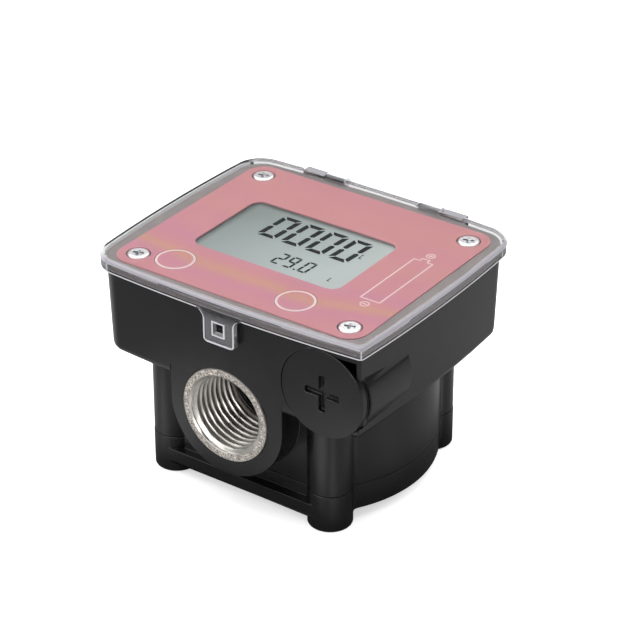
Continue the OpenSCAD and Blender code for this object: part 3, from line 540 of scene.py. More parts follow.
def turned_tube(x, z, start, span, radius, sides, rings, radius_at):
    """Open tube from start along y, left in edit mode, whose radius follows its depth and angle."""
    start_alone()
    bpy.ops.mesh.primitive_cylinder_add(
        vertices=sides, radius=radius, depth=span, end_fill_type="NOTHING",
        location=(x, start + span / 2, z), rotation=(math.radians(90), 0, 0))
    tube = freeze(bpy.context.active_object)
    edit(tube)
    pick(tube, "edges", lambda e: abs(e.verts[0].co.y - e.verts[1].co.y) > span / 2)
    bpy.ops.mesh.subdivide(number_cuts=rings)
    mesh = bmesh.from_edit_mesh(tube.data)
    for vertex in mesh.verts:
        angle = math.atan2(vertex.co.z - z, vertex.co.x - x)
        reach(vertex, radius_at(vertex.co.y - start, angle), x, z)
    bmesh.update_edit_mesh(tube.data)
    return tube


def pick_ring(piece, y):
    """In edit mode, selects the ring of edges at one depth."""
    pick(piece, "edges", lambda e: all(abs(v.co.y - y) < NEAR for v in e.verts))


def cad_copy(node):
    """A free copy of a CAD solid with its loose triangles merged."""
    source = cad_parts[node]
    piece = source.copy()
    piece.data = source.data.copy()
    piece.parent = None
    for key in list(piece.keys()):
        del piece[key]
    bpy.context.scene.collection.objects.link(piece)
    take(piece)
    bpy.ops.mesh.customdata_custom_splitnormals_clear()
    return clean(piece)


def cad_axis(node):
    """Middle of a round CAD solid whose axis runs front to back: x, z, its radius and its box's corners."""
    low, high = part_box(node)
    return (low.x + high.x) / 2, (low.z + high.z) / 2, (high.x - low.x) / 2, low, high


def settle(piece, name, body, finish, stands_for=()):
    """Names a finished piece, gives it its finish and lets it ride on its body."""
    piece.name = name
    piece.data.name = name
    finishes = finish if isinstance(finish, list) else [finish]
    indices = [min(face.material_index, len(finishes) - 1) for face in piece.data.polygons]
    piece.data.materials.clear()
    for each in finishes:
        piece.data.materials.append(each)
    piece.data.polygons.foreach_set("material_index", indices)
    if stands_for:
        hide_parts(*stands_for)
    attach(piece, body)
    return piece


def dress(finish, *nodes):
    """Gives CAD nodes that stay a better material."""
    for node in nodes:
        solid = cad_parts[node]
        solid.data.materials.clear()
        solid.data.materials.append(finish)


# ---------------------------------------------------------------- outlines

def arc(cx, cy, radius, from_deg, steps):
    """Quarter circle of points, anticlockwise."""
    angles = [math.radians(from_deg + 90 * i / steps) for i in range(steps + 1)]
    return [(cx + radius * math.cos(a), cy + radius * math.sin(a)) for a in angles]


def rim_outline(inset, arc_steps=12, side_steps=13):
    """The head's bowed rim outline moved inwards, or outwards where the inset is negative."""
    head = sizes().head
    hx, hy = head.half_x - inset, head.half_y - inset
    r = max(head.corner - inset, head.near / 2)
    near = max(head.near - max(inset, 0.0), head.near / 4)
    corners = [arc(hx - near, near - hy, near, -90, arc_steps), arc(hx - r, hy - r, r, 0, arc_steps),
               arc(r - hx, hy - r, r, 90, arc_steps), arc(r - hx, r - hy, r, 180, arc_steps)]
    points = []
    for i, corner in enumerate(corners):
        a, b = Vector(corner[-1]), Vector(corners[(i + 1) % 4][0])
        points += corner
        points += [tuple(a.lerp(b, k / (side_steps + 1))) for k in range(1, side_steps + 1)]
    return [(x * (1 + head.bow_x / hx * (1 - (y / hy) ** 2)),
             y * (1 + head.bow_y / hy * (1 - (x / hx) ** 2))) for x, y in points]


def at_height(outline, z):
    """The outline's points in space."""
    return [Vector((x, y, z)) for x, y in outline]


def round_rect(cx, cy, width, depth, radius, steps=10):
    """Rectangle with round corners, anticlockwise."""
    hx, hy = width / 2 - radius, depth / 2 - radius
    return (arc(cx + hx, cy - hy, radius, -90, steps) + arc(cx + hx, cy + hy, radius, 0, steps)
            + arc(cx - hx, cy + hy, radius, 90, steps) + arc(cx - hx, cy - hy, radius, 180, steps))


def anticlockwise(outline):
    """The outline, turned round where it runs clockwise."""
    area = sum(a[0] * b[1] - b[0] * a[1] for a, b in zip(outline, outline[1:] + outline[:1]))
    return outline if area > 0 else outline[::-1]


# ---------------------------------------------------------------- materials

def first_output(source):
    """A socket as it is, or a node's first output."""
    if isinstance(source, bpy.types.NodeSocket):
        return source
    return next(socket for socket in source.outputs if socket.enabled)


def add_node(owner, kind, inputs=None, to=None, stops=(), **settings):
    """Adds one shader node with its settings and links.

    An input is given by its name, or by number where several share a name. A node given for an input
    stands for its first output. `to` names the shader's socket that the new node feeds.
    """
    tree = owner.node_tree
    made = tree.nodes.new("ShaderNode" + kind)
    for key, value in settings.items():
        setattr(made, key, value)
    sockets = [socket for socket in made.inputs if socket.enabled]
    for key, value in (inputs or {}).items():
        socket = sockets[key] if isinstance(key, int) else next(s for s in sockets if s.name == key)
        if isinstance(value, (bpy.types.Node, bpy.types.NodeSocket)):
            tree.links.new(first_output(value), socket)
        else:
            socket.default_value = value
    if stops:
        elements = made.color_ramp.elements
        while len(elements) < len(stops):
            elements.new(0.5)
        for element, (at, hue) in zip(elements, stops):
            element.position = at
            element.color = (*hue, 1.0)
    if to:
        shader = tree.nodes.get("Principled BSDF") or tree.nodes["Background"]
        tree.links.new(first_output(made), shader.inputs[to])
    return made


def new_finish(name, **shader):
    """A material whose constants sit on its shader's own sockets, and the place on the piece."""
    material = bpy.data.materials.new(name)
    material.use_nodes = True
    principled = material.node_tree.nodes["Principled BSDF"]
    for key, value in shader.items():
        label = key.replace("_", " ").title().replace("Ior", "IOR")
        socket = principled.inputs[label]
        socket.default_value = (*value, 1.0) if label == "Base Color" else value
    return material, add_node(material, "TexCoord").outputs["Object"]


def per_mm(width):
    """Noise scale at which the features are about `width` millimetres wide."""
    return 1.0 / (width * MM)


def shade(hue, factor):
    """The colour made darker or lighter."""
    return tuple(min(c * factor, 1.0) for c in hue)


def relief(material, where, width, depth, strength, detail=2.0, **more):
    """Fine relief of a moulded or drawn surface; width and depth are in millimetres."""
    grain = add_node(material, "TexNoise", {"Vector": where, "Scale": per_mm(width), "Detail": detail})
    add_node(material, "Bump", {"Height": grain, "Distance": depth * MM, "Strength": strength, **more},
             "Normal")


def patches(material, where, hue, width, dark, light, detail=2.0):
    """Colour that wanders between a darker and a lighter tone; the width is in millimetres."""
    cloud = add_node(material, "TexNoise", {"Vector": where, "Scale": per_mm(width), "Detail": detail})
    return add_node(material, "ValToRGB", {"Fac": cloud}, "Base Color",
                    stops=((0.3, shade(hue, dark)), (0.7, shade(hue, light))))


def black_abs():
    """Moulded black ABS: satin, with a fine grain and faint flow marks that break its highlights."""
    hue = sizes().finish.moulding
    made, where = new_finish("Black moulded ABS", base_color=hue, roughness=0.24, ior=1.54)
    flow = add_node(made, "TexNoise", {"Vector": where, "Scale": per_mm(9.0), "Detail": 2.0})
    add_node(made, "MapRange", {"Value": flow, "To Min": 0.19, "To Max": 0.29}, "Roughness")
    add_node(made, "ValToRGB", {"Fac": flow}, "Base Color",
             stops=((0.3, shade(hue, 0.9)), (0.7, shade(hue, 1.15))))
    # Softens the few edges that are too short for a cut bevel.
    corner = add_node(made, "Bevel", {"Radius": 0.25 * MM}, samples=4)
    # The real grain is about 0.05 mm; it is drawn at 0.35 mm so that it shows.
    relief(made, where, width=0.35, depth=0.004, strength=0.6, Normal=corner)
    return made


def ear_painted_light():
    """The housing's black ABS at the hinge ears, painted pale grey: painted light, as they look through the
    lid's edge.
    """
    made, where = new_finish("Moulded hinge ear", base_color=sizes().finish.ear, roughness=0.45)
    relief(made, where, width=0.4, depth=0.004, strength=0.6)
    return made


def grey_rim():
    """Moulded flange under the lid: flat satin grey."""
    hue = sizes().finish.face_rim
    made, where = new_finish("Moulded face flange", base_color=hue, roughness=0.5, specular_ior_level=0.12)
    patches(made, where, hue, width=7.0, dark=0.88, light=1.0)
    relief(made, where, width=0.4, depth=0.005, strength=0.6)
    return made


def printed_film():
    """Back-printed polyester film: soft salmon red with the faint rainbow of stressed plastic over it."""
    f = sizes().finish
    made, where = new_finish("Printed polyester film", base_color=f.film, roughness=0.5,
                             specular_ior_level=0.12)
    # The rainbow follows a curve: a sagging line across the film, bent a little by noise.
    sag, waver = -4.2, 9.0 * MM
    parts = add_node(made, "SeparateXYZ", {"Vector": where})
    bend = add_node(made, "Math", {0: parts.outputs["X"], 1: parts.outputs["X"]}, operation="MULTIPLY")
    line = add_node(made, "Math", {0: bend, 1: sag, 2: parts.outputs["Y"]}, operation="MULTIPLY_ADD")
    noise = add_node(made, "TexNoise", {"Vector": where, "Scale": per_mm(22.0), "Detail": 1.5,
                                        "Roughness": 0.45})
    wavy = add_node(made, "Math", {0: noise, 1: waver, 2: line}, operation="MULTIPLY_ADD")
    band = add_node(made, "MapRange", {"Value": wavy, "From Min": -26.0 * MM, "From Max": 34.0 * MM})
    faint_mauve, faint_peach = (tuple((tint + 3 * base) / 4 for tint, base in zip(hue, f.film))
                                for hue in (f.film_mauve, f.film_peach))
    add_node(made, "ValToRGB", {"Fac": band}, "Base Color", stops=(
        (0.0, f.film), (0.1, f.film_mauve), (0.16, f.film_peach), (0.21, f.film), (0.28, f.film_mauve),
        (0.36, f.film), (0.46, faint_mauve), (0.54, faint_peach), (0.66, f.film), (0.8, faint_peach),
        (1.0, f.film)))
    relief(made, where, width=0.5, depth=0.003, strength=0.5)
    return made


def pale_print():
    """Silk-screened ink: matt pale lines on the film."""
    made, where = new_finish("Silk-screen ink", base_color=sizes().finish.print_pale, roughness=0.5,
                             specular_ior_level=0.12)
    relief(made, where, width=0.3, depth=0.002, strength=0.5)
    return made


def clear_polycarbonate():
    """Injection moulded clear polycarbonate: sharp reflections, a little wavy."""
    made, where = new_finish("Clear polycarbonate", base_color=sizes().finish.lid, roughness=0.03, ior=1.585,
                             transmission_weight=1.0)
    relief(made, where, width=14.0, depth=0.01, strength=0.15, detail=1.0)
    return made


def edge_band_painted_light():
    """Rounded polycarbonate edge with painted light: pale grey for the light it gathers, paler towards its
    lower side, with painted shade towards the pane.
    """
    f, lid, head = sizes().finish, sizes().lid, sizes().head
    made, where = new_finish("Polycarbonate, light-gathering edge", base_color=f.lid_band_painted_light, roughness=0.22,
                             ior=1.585, transmission_weight=0.15)
    parts = add_node(made, "SeparateXYZ", {"Vector": where})
    rise = add_node(made, "MapRange", {
        "Value": parts.outputs["Z"], "From Min": lid.top - lid.edge, "From Max": lid.top})
    painted_band_tones = add_node(made, "ValToRGB", {"Fac": rise}, stops=(
        (0.0, f.lid_band_painted_light), (0.55, shade(f.lid_band_painted_light, 0.82)), (0.75, shade(f.lid_band_painted_light, 0.9)),
        (1.0, f.lid_band_top_painted_shade)))
    # Painted light: the left and back edges are painted paler, for the bright backdrop behind them.
    left = add_node(made, "MapRange", {
        "Value": parts.outputs["X"], "From Min": -head.half_x - 0.1 * MM, "From Max": 3.4 * MM - head.half_x,
        "To Min": 1.0, "To Max": 0.0})
    behind = add_node(made, "MapRange", {
        "Value": parts.outputs["Y"], "From Min": head.half_y - 2.9 * MM, "From Max": head.half_y - 0.4 * MM})
    away = add_node(made, "Math", {0: left, 1: behind}, operation="MAXIMUM")
    add_node(made, "Mix", {"Factor": away, "A": painted_band_tones, "B": (*f.lid_band_far_painted_light, 1.0)}, "Base Color",
             data_type="RGBA")
    relief(made, where, width=2.5, depth=0.02, strength=0.4)
    return made


def skirt_painted_light_and_shade():
    """Polycarbonate skirt: clear, with painted shade, a grey tint for the dark moulding behind it, and less
    clear where its surface is drawn.
    """
    lid, head, hue = sizes().lid, sizes().head, sizes().finish.lid_skirt_painted_shade
    made, where = new_finish("Polycarbonate skirt", base_color=hue, roughness=0.08, ior=1.585,
                             transmission_weight=1.0)
    parts = add_node(made, "SeparateXYZ", {"Vector": where})
    # Painted light: the right side is painted paler, for the bright backdrop behind it.
    right = add_node(made, "MapRange", {
        "Value": parts.outputs["X"], "From Min": head.half_x - 0.4 * MM, "From Max": head.half_x + 1.6 * MM})
    add_node(made, "ValToRGB", {"Fac": right}, "Base Color",
             stops=((0.0, shade(hue, 0.9)), (1.0, shade(hue, 1.35))))
    # The tab has a drawn, less clear surface.
    haze = add_node(made, "TexNoise", {"Vector": where, "Scale": per_mm(1.5), "Detail": 2.0})
    rise = add_node(made, "Math", {0: haze, 1: 2.0 * MM, 2: parts.outputs["Z"]}, operation="MULTIPLY_ADD")
    skirt_z = lid.top - lid.drop
    add_node(made, "MapRange", {
        "Value": rise, "From Min": skirt_z - 1.0 * MM, "From Max": skirt_z + 1.5 * MM,
        "To Min": 0.62, "To Max": 1.0}, "Transmission Weight")
    relief(made, where, width=6.0, depth=0.02, strength=0.3, detail=1.0)
    return made


def edge_line():
    """Sharp polycarbonate edges with painted highlights: pale lines."""
    made, where = new_finish("Polycarbonate, pale edge", base_color=sizes().finish.lid_line_painted_highlight, roughness=0.2,
                             ior=1.585, transmission_weight=0.1)
    relief(made, where, width=1.2, depth=0.02, strength=0.4)
    return made


def display_with_painted_shade():
    """Reflective display behind its polariser: grey green, with painted shade that makes it dimmer towards
    the left and the back.
    """
    f, face = sizes().finish, sizes().face
    made, where = new_finish("Display polariser", base_color=f.display, roughness=0.4,
                             specular_ior_level=0.12)
    parts = add_node(made, "SeparateXYZ", {"Vector": where})
    slope = add_node(made, "Math", {0: parts.outputs["Y"], 1: -0.5, 2: parts.outputs["X"]},
                     operation="MULTIPLY_ADD")
    noise = add_node(made, "TexNoise", {"Vector": where, "Scale": per_mm(12.0), "Detail": 1.0})
    cloud = add_node(made, "Math", {0: noise, 1: 6.0 * MM, 2: slope}, operation="MULTIPLY_ADD")
    across = add_node(made, "MapRange", {"Value": cloud, "From Min": -26.0 * MM, "From Max": 16.0 * MM})
    # Painted shade: the display darkens towards the left and the back, with a faint random cloud.
    tone = add_node(made, "ValToRGB", {"Fac": across}, stops=((0.0, f.display_painted_shade), (1.0, f.display)))
    # Painted shadow of the window's frame along the left and back edges.
    left_x, back_y = -face.window_x - face.window_width / 2, face.window_height / 2
    left = add_node(made, "MapRange", {
        "Value": parts.outputs["X"], "From Min": left_x, "From Max": left_x + 1.8 * MM, "To Min": 0.5})
    behind = add_node(made, "MapRange", {
        "Value": parts.outputs["Y"], "From Min": back_y - 1.5 * MM, "From Max": back_y,
        "To Min": 1.0, "To Max": 0.55})
    edge = add_node(made, "Math", {0: left, 1: behind}, operation="MINIMUM")
    add_node(made, "Mix", {"Factor": 1.0, "A": tone, "B": edge}, "Base Color",
             data_type="RGBA", blend_type="MULTIPLY")
    return made


def display_ink():
    """Switched display segments: near black with a green cast."""
    made, where = new_finish("Display segments", base_color=sizes().finish.digits, roughness=0.6,
                             specular_ior_level=0.05)
    relief(made, where, width=0.2, depth=0.001, strength=0.3, detail=1.0)
    return made


def turned_metal():
    """Turned stainless insert: bright, with fine tool lines that run round the bore."""
    hue = sizes().finish.port
    made, where = new_finish("Turned stainless steel", base_color=hue, metallic=0.85, roughness=0.3)
    parts = add_node(made, "SeparateXYZ", {"Vector": where})
    depth = add_node(made, "CombineXYZ", {"Y": parts.outputs["Y"]})
    rings = add_node(made, "TexNoise", {"Vector": depth, "Scale": per_mm(0.22), "Detail": 4.0,
                                        "Roughness": 0.7})
    stains = add_node(made, "TexNoise", {"Vector": where, "Scale": per_mm(3.0), "Detail": 4.0,
                                         "Roughness": 0.6})
    add_node(made, "ValToRGB", {"Fac": stains}, "Base Color", stops=((0.3, shade(hue, 0.72)), (0.62, hue)))
    add_node(made, "MapRange", {"Value": rings, "To Min": 0.24, "To Max": 0.42}, "Roughness")
    add_node(made, "Bump", {"Height": rings, "Distance": 0.02 * MM, "Strength": 0.5}, "Normal")
    return made


def cut_rim(axis_z, outer):
    """Sawn and tumbled end face: warm grey, sandy, and ragged where the moulding laps over it."""
    hue, black = sizes().finish.port_rim, sizes().finish.moulding
    made, where = new_finish("Tumbled metal face", base_color=hue, metallic=0.35, roughness=0.55)
    # The real pits are about 0.1 mm; they are drawn at 0.5 mm so that they show.
    grit = add_node(made, "TexNoise", {"Vector": where, "Scale": per_mm(0.5), "Detail": 5.0,
                                       "Roughness": 0.7})
    grain = add_node(made, "ValToRGB", {"Fac": grit}, stops=(
        (0.36, shade(hue, 0.3)), (0.5, hue), (0.66, shade(hue, 2.4))))
    from_axis = add_node(made, "VectorMath", {0: where, 1: (1.0, 0.0, 1.0), 2: (0.0, 0.0, -axis_z)},
                         operation="MULTIPLY_ADD")
    radius = add_node(made, "VectorMath", {0: from_axis}, operation="LENGTH")
    ragged = add_node(made, "Math", {0: grit, 1: 1.6 * MM, 2: radius}, operation="MULTIPLY_ADD")
    lap = add_node(made, "MapRange", {
        "Value": ragged, "From Min": outer + 0.6 * MM, "From Max": outer + 0.85 * MM})
    add_node(made, "Mix", {"Factor": lap, "A": grain, "B": (*shade(black, 2.0), 1.0)}, "Base Color",
             data_type="RGBA")
    add_node(made, "MapRange", {"Value": lap, "To Min": 0.35, "To Max": 0.0}, "Metallic")
    add_node(made, "Bump", {"Height": grit, "Distance": 0.09 * MM, "Strength": 0.9}, "Normal")
    return made


def plated_steel():
    """Nickel plated steel: bright, with faint rolling marks."""
    made, where = new_finish("Nickel plated steel", base_color=sizes().finish.steel, metallic=1.0,
                             roughness=0.18)
    marks = add_node(made, "TexNoise", {"Vector": where, "Scale": per_mm(0.9), "Detail": 4.0})
    add_node(made, "MapRange", {"Value": marks, "To Min": 0.1, "To Max": 0.3}, "Roughness")
    add_node(made, "Bump", {"Height": marks, "Distance": 0.01 * MM, "Strength": 0.4}, "Normal")
    return made


def plain_plastic(name, hue, roughness, grain=0.4):
    """A solid-coloured plastic or rubber with its own grain and slight colour drift."""
    made, where = new_finish(name, base_color=hue, roughness=roughness)
    patches(made, where, hue, width=5.0, dark=0.9, light=1.08)
    relief(made, where, width=grain, depth=0.006, strength=0.5)
    return made


def solder_mask():
    """Glass-epoxy board under green solder mask, with copper tracks that show as paler lines."""
    hue = sizes().finish.board
    made, where = new_finish("Solder mask", base_color=hue, roughness=0.3, coat_weight=0.4,
                             coat_roughness=0.15)
    tones = {name: (*shade(hue, factor), 1.0)
             for name, factor in (("Color1", 1.0), ("Color2", 0.85), ("Mortar", 1.7))}
    add_node(made, "TexBrick", {"Vector": where, "Scale": 90.0, "Mortar Size": 0.012, **tones},
             "Base Color", offset=0.35)
    return made


# ---------------------------------------------------------------- pieces

class METER_OT_mouldings(bpy.types.Operator):
    """Rounds the edges of the black mouldings and shades their bowed sides smooth"""
    bl_idname = "meter.mouldings"
    bl_label = "Mouldings"

    def execute(self, context):
        head, lid = sizes().head, sizes().lid
        finishes = [black_abs(), ear_painted_light()]
        ear_foot = head.rim + 0.5 * MM
        most_corners = 24
        for node, name in (("meter_body", "moulded_body"), ("bottom_cover", "moulded_cover")):
            piece = clean(cad_copy(node), merge=0.03 * MM, flat=0.5)
            if node == "meter_body":
                cut(piece, box((-FAR, head.half_y + MM, head.ear_top), (FAR, FAR, lid.top + OVERRUN)))
                weld(piece, self.tube_crescent())
            # Faces with a hole are ringed by one outline, which a bevel would fold over itself.
            edit(piece)
            pick(piece, "faces", lambda f: len(f.verts) > most_corners)
            bpy.ops.mesh.quads_convert_to_tris()
            leave()
            round_edges(piece, head.moulded_edge, clamp=False)
            for face in piece.data.polygons:
                # The ears above the rim and behind the back take the second finish: painted light on the
                # black housing.
                face.material_index = int(face.center.z > ear_foot and face.center.y > head.half_y)
            settle(piece, name, "housing", finishes, [node])
        dress(grey_rim(), "face_plate")
        return {"FINISHED"}

    @staticmethod
    def tube_crescent():
        """Crescent that makes the battery tube stand out of the head's side."""
        head = sizes().head
        x, z, radius, low, _ = cad_axis("battery_cap")
        start, end, sides = low.y + head.tube_start, low.y + head.tube_end, 128
        out_x = x + head.tube_out
        tube = rod(radius, (out_x, start, z), (out_x, end, z), sides)
        inside = rod(radius - head.tube_skin, (x, start - OVERRUN, z), (x, end + OVERRUN, z), sides)
        inner_side = box((x - 3 * radius, start - OVERRUN, z - 2 * radius),
                         (x + radius / 2, end + OVERRUN, z + 2 * radius))
        return cut(tube, inside, inner_side)


class METER_OT_ports(bpy.types.Operator):
    """Cuts a real pipe thread into the two port inserts"""
    bl_idname = "meter.ports"
    bl_label = "Threaded ports"

    def execute(self, context):
        port = sizes().port
        x, z, outer, low, high = cad_axis("inlet_insert")
        span = high.y - low.y
        rings = round(span / port.pitch * port.rings_per_turn)
        slope = (port.mouth - port.core) / port.chamfer

        def radius_at(depth, angle):
            fade = min(max((span - depth) / (port.runout * port.pitch), 0.0), 1.0)
            groove = thread_height(depth / port.pitch + angle / math.tau) * port.depth * fade
            return max(port.core + groove, port.mouth - depth * slope)

        inlet = turned_tube(x, z, low.y, span, port.core, port.sides, rings, radius_at)
        pick_ring(inlet, low.y)
        extrude_ring()
        widen(inlet, outer - port.edge, x, z)
        extrude_ring(port.edge)
        widen(inlet, outer, x, z)
        extrude_ring(span - port.edge)
        pick(inlet, "edges", lambda e: e.is_boundary)
        bpy.ops.mesh.bridge_edge_loops()
        outward()
        leave()
        end_face, inside_rim = low.y + 0.2 * MM, port.mouth - 0.1 * MM
        for face in inlet.data.polygons:
            radius = math.hypot(face.center.x - x, face.center.z - z)
            face.material_index = RIM if face.center.y < end_face and radius > inside_rim else BORE
        smooth(inlet)
        outlet = copy_of(inlet, Matrix.Rotation(math.pi, 4, "Z"))
        finishes = [turned_metal(), cut_rim(z, outer)]
        settle(inlet, "threaded_inlet", "housing", finishes, ["inlet_insert"])
        settle(outlet, "threaded_outlet", "housing", finishes, ["outlet_insert"])
        return {"FINISHED"}


class METER_OT_lid(bpy.types.Operator):
    """Models the clear lid with its band, skirt, latch tab and hinge knuckles"""
    bl_idname = "meter.lid"
    bl_label = "Clear lid"

    def execute(self, context):
        head, lid = sizes().head, sizes().lid
        skirt_z, pane_z = lid.top - lid.drop, lid.top - lid.pane
        hinge_y, hinge_z = head.half_y + lid.hinge_back, lid.top - lid.hinge_down
        piece = raise_rings(self.shell_rings(skirt_z, pane_z))
        back = head.half_y - head.corner / 3
        cut(piece, box((-FAR, back, skirt_z - OVERRUN), (FAR, FAR, lid.top - lid.back_drop)))
        hinge_half = (lid.knuckle_width + lid.side + lid.ear_width) / 2
        zone = hinge_half + lid.side
        web_top = hinge_z + lid.knuckle - lid.web_down
        for side in (-1, 1):
            x = side * lid.hinge_x
            near = x - side * hinge_half
            left, right = sorted((near, near + side * lid.knuckle_width))
            cut(piece, box((x - zone, hinge_y - lid.knuckle - lid.side, skirt_z),
                           (x + zone, FAR, lid.top + OVERRUN)))
            weld(piece, box((left, hinge_y - lid.knuckle - lid.wall, pane_z), (right, hinge_y, web_top)),
                 rod(lid.knuckle, (left, hinge_y, hinge_z), (right, hinge_y, hinge_z), sides=48))
            cut(piece, rod(lid.pin, (x - zone, hinge_y, hinge_z), (x + zone, hinge_y, hinge_z), sides=32))
        weld(piece, self.tab())
        clean(piece)
        # Every rounded edge takes the pale line slot: painted highlights.
        round_edges(piece, lid.edge_line, angle=40.0, material=LINE)
        for face in piece.data.polygons:
            if face.material_index == PANE and face.center.z > skirt_z - lid.tab_drop:
                face.material_index = self.finish_at(face.normal, face.center, skirt_z, hinge_y)
        finishes = [clear_polycarbonate(), edge_band_painted_light(), skirt_painted_light_and_shade(), edge_line()]
        settle(piece, "clear_lid", "lid", finishes, ["lid"])
        return {"FINISHED"}

    @staticmethod
    def shell_rings(skirt_z, pane_z):
        """Outlines from the pane's underside, down inside the skirt, up outside it and over the edge."""
        lid = sizes().lid
        over = lid.clear + lid.wall
        band_z = lid.top - lid.edge
        foot_line, foot_step, steps = 1.5 * lid.edge_line, 0.02 * MM, 8
        rings = [(-lid.clear, pane_z), (-lid.clear, skirt_z), (lid.step - over, skirt_z),
                 (lid.step - over - foot_step, skirt_z + foot_line), (lid.step - over, band_z - lid.step),
                 (-over, band_z)]
        for i in range(1, steps + 1):
            a = math.radians(90 * i / steps)
            rings.append((lid.edge * (1 - math.cos(a)) - over, band_z + lid.edge * math.sin(a)))
        return [at_height(rim_outline(inset), z) for inset, z in rings]

    @staticmethod
    def finish_at(normal, middle, skirt_z, hinge_y):
        """Painted light on the rounded edge and the hinge knuckles, painted shade and light on the outer
        skirt and the tab, painted highlights along the near corner, the skirt's foot and the tab's bead.
        """
        lid = sizes().lid
        slanted, upright = 0.1 < normal.z < 0.985, abs(normal.z) < 0.1
        band_foot = lid.top - lid.edge - 0.3 * MM
        back_edge, hinge_parts = hinge_y - 4.0 * MM, hinge_y - 2.9 * MM
        if slanted and middle.z > band_foot:
            return BAND
        if middle.y >= back_edge:
            return BAND if middle.y > hinge_parts else PANE
        outside = normal.x * middle.x + normal.y * middle.y > 0
        if not (upright and outside):
            return PANE
        # Painted highlights: the near corner, the skirt's foot and the tab's bead take the pale line finish.
        near_corner = normal.x > 0.62 and normal.y < -0.62
        foot = skirt_z < middle.z < skirt_z + 1.4 * lid.edge_line
        bead = middle.y < METER_OT_lid.tab_face() - lid.bead_out / 3
        return LINE if near_corner or foot or bead else SKIRT

    @staticmethod
    def tab_face():
        """Front of the latch tab."""
        head, lid = sizes().head, sizes().lid
        return -(head.half_y + lid.clear + lid.wall + head.bow_y)

    @staticmethod
    def tab_outline(inset):
        """Outline of the latch tab, flared at its root and rounded at its foot, moved inwards."""
        lid = sizes().lid
        half, flare, toe = lid.tab_width / 2 - inset, lid.flare + inset, lid.toe - inset
        skirt_z, foot_z = lid.top - lid.drop, lid.top - lid.tab_drop + inset
        outline = [(-half - flare, skirt_z + 0.8 * lid.wall)]
        for a in (math.radians(degrees) for degrees in range(0, 91, 10)):
            outline.append((-half - flare + flare * math.sin(a),
                            skirt_z - lid.flare - inset + flare * math.cos(a)))
        for a in (math.radians(degrees) for degrees in range(0, 91, 18)):
            outline.append((toe - half - toe * math.cos(a), foot_z + toe - toe * math.sin(a)))
        return [(lid.tab_x + x, z) for x, z in outline + [(-x, z) for x, z in reversed(outline)]]

    @staticmethod
    def tab():
        """Latch tab: a flared plate, with a bead along its edge and round its hole, and a finger lip."""
        lid = sizes().lid
        face_y = METER_OT_lid.tab_face()
        back_y, bead_y = face_y + lid.wall, face_y - lid.bead_out

        def layer(inset, y0, y1):
            outline = METER_OT_lid.tab_outline(inset)
            return raise_rings([[Vector((x, y, z)) for x, z in outline] for y in (y0, y1)])

        def block(x_half, y0, y1, z0, z1):
            return box((lid.tab_x - x_half, y0, z0), (lid.tab_x + x_half, y1, z1))

        root_z = lid.top - lid.drop - 0.2 * MM
        tab = cut(layer(0.0, bead_y, back_y), layer(lid.bead, bead_y - OVERRUN, face_y),
                  box((-lid.tab_width, bead_y - OVERRUN, root_z), (lid.tab_width, face_y, lid.top)))
        foot_z, hole_z = lid.top - lid.tab_drop, lid.top - lid.hole_down
        half_w, half_h = lid.hole_width / 2, lid.hole_height / 2
        weld(tab, block(lid.tab_width / 2 - MM, face_y - lid.lip, back_y, foot_z, foot_z + lid.lip_height),
             block(half_w + lid.bead, face_y - lid.ring_out, back_y,
                   hole_z - half_h - lid.bead, hole_z + half_h + lid.bead))
        return cut(tab, block(half_w, face_y - OVERRUN, back_y + OVERRUN, hole_z - half_h, hole_z + half_h))


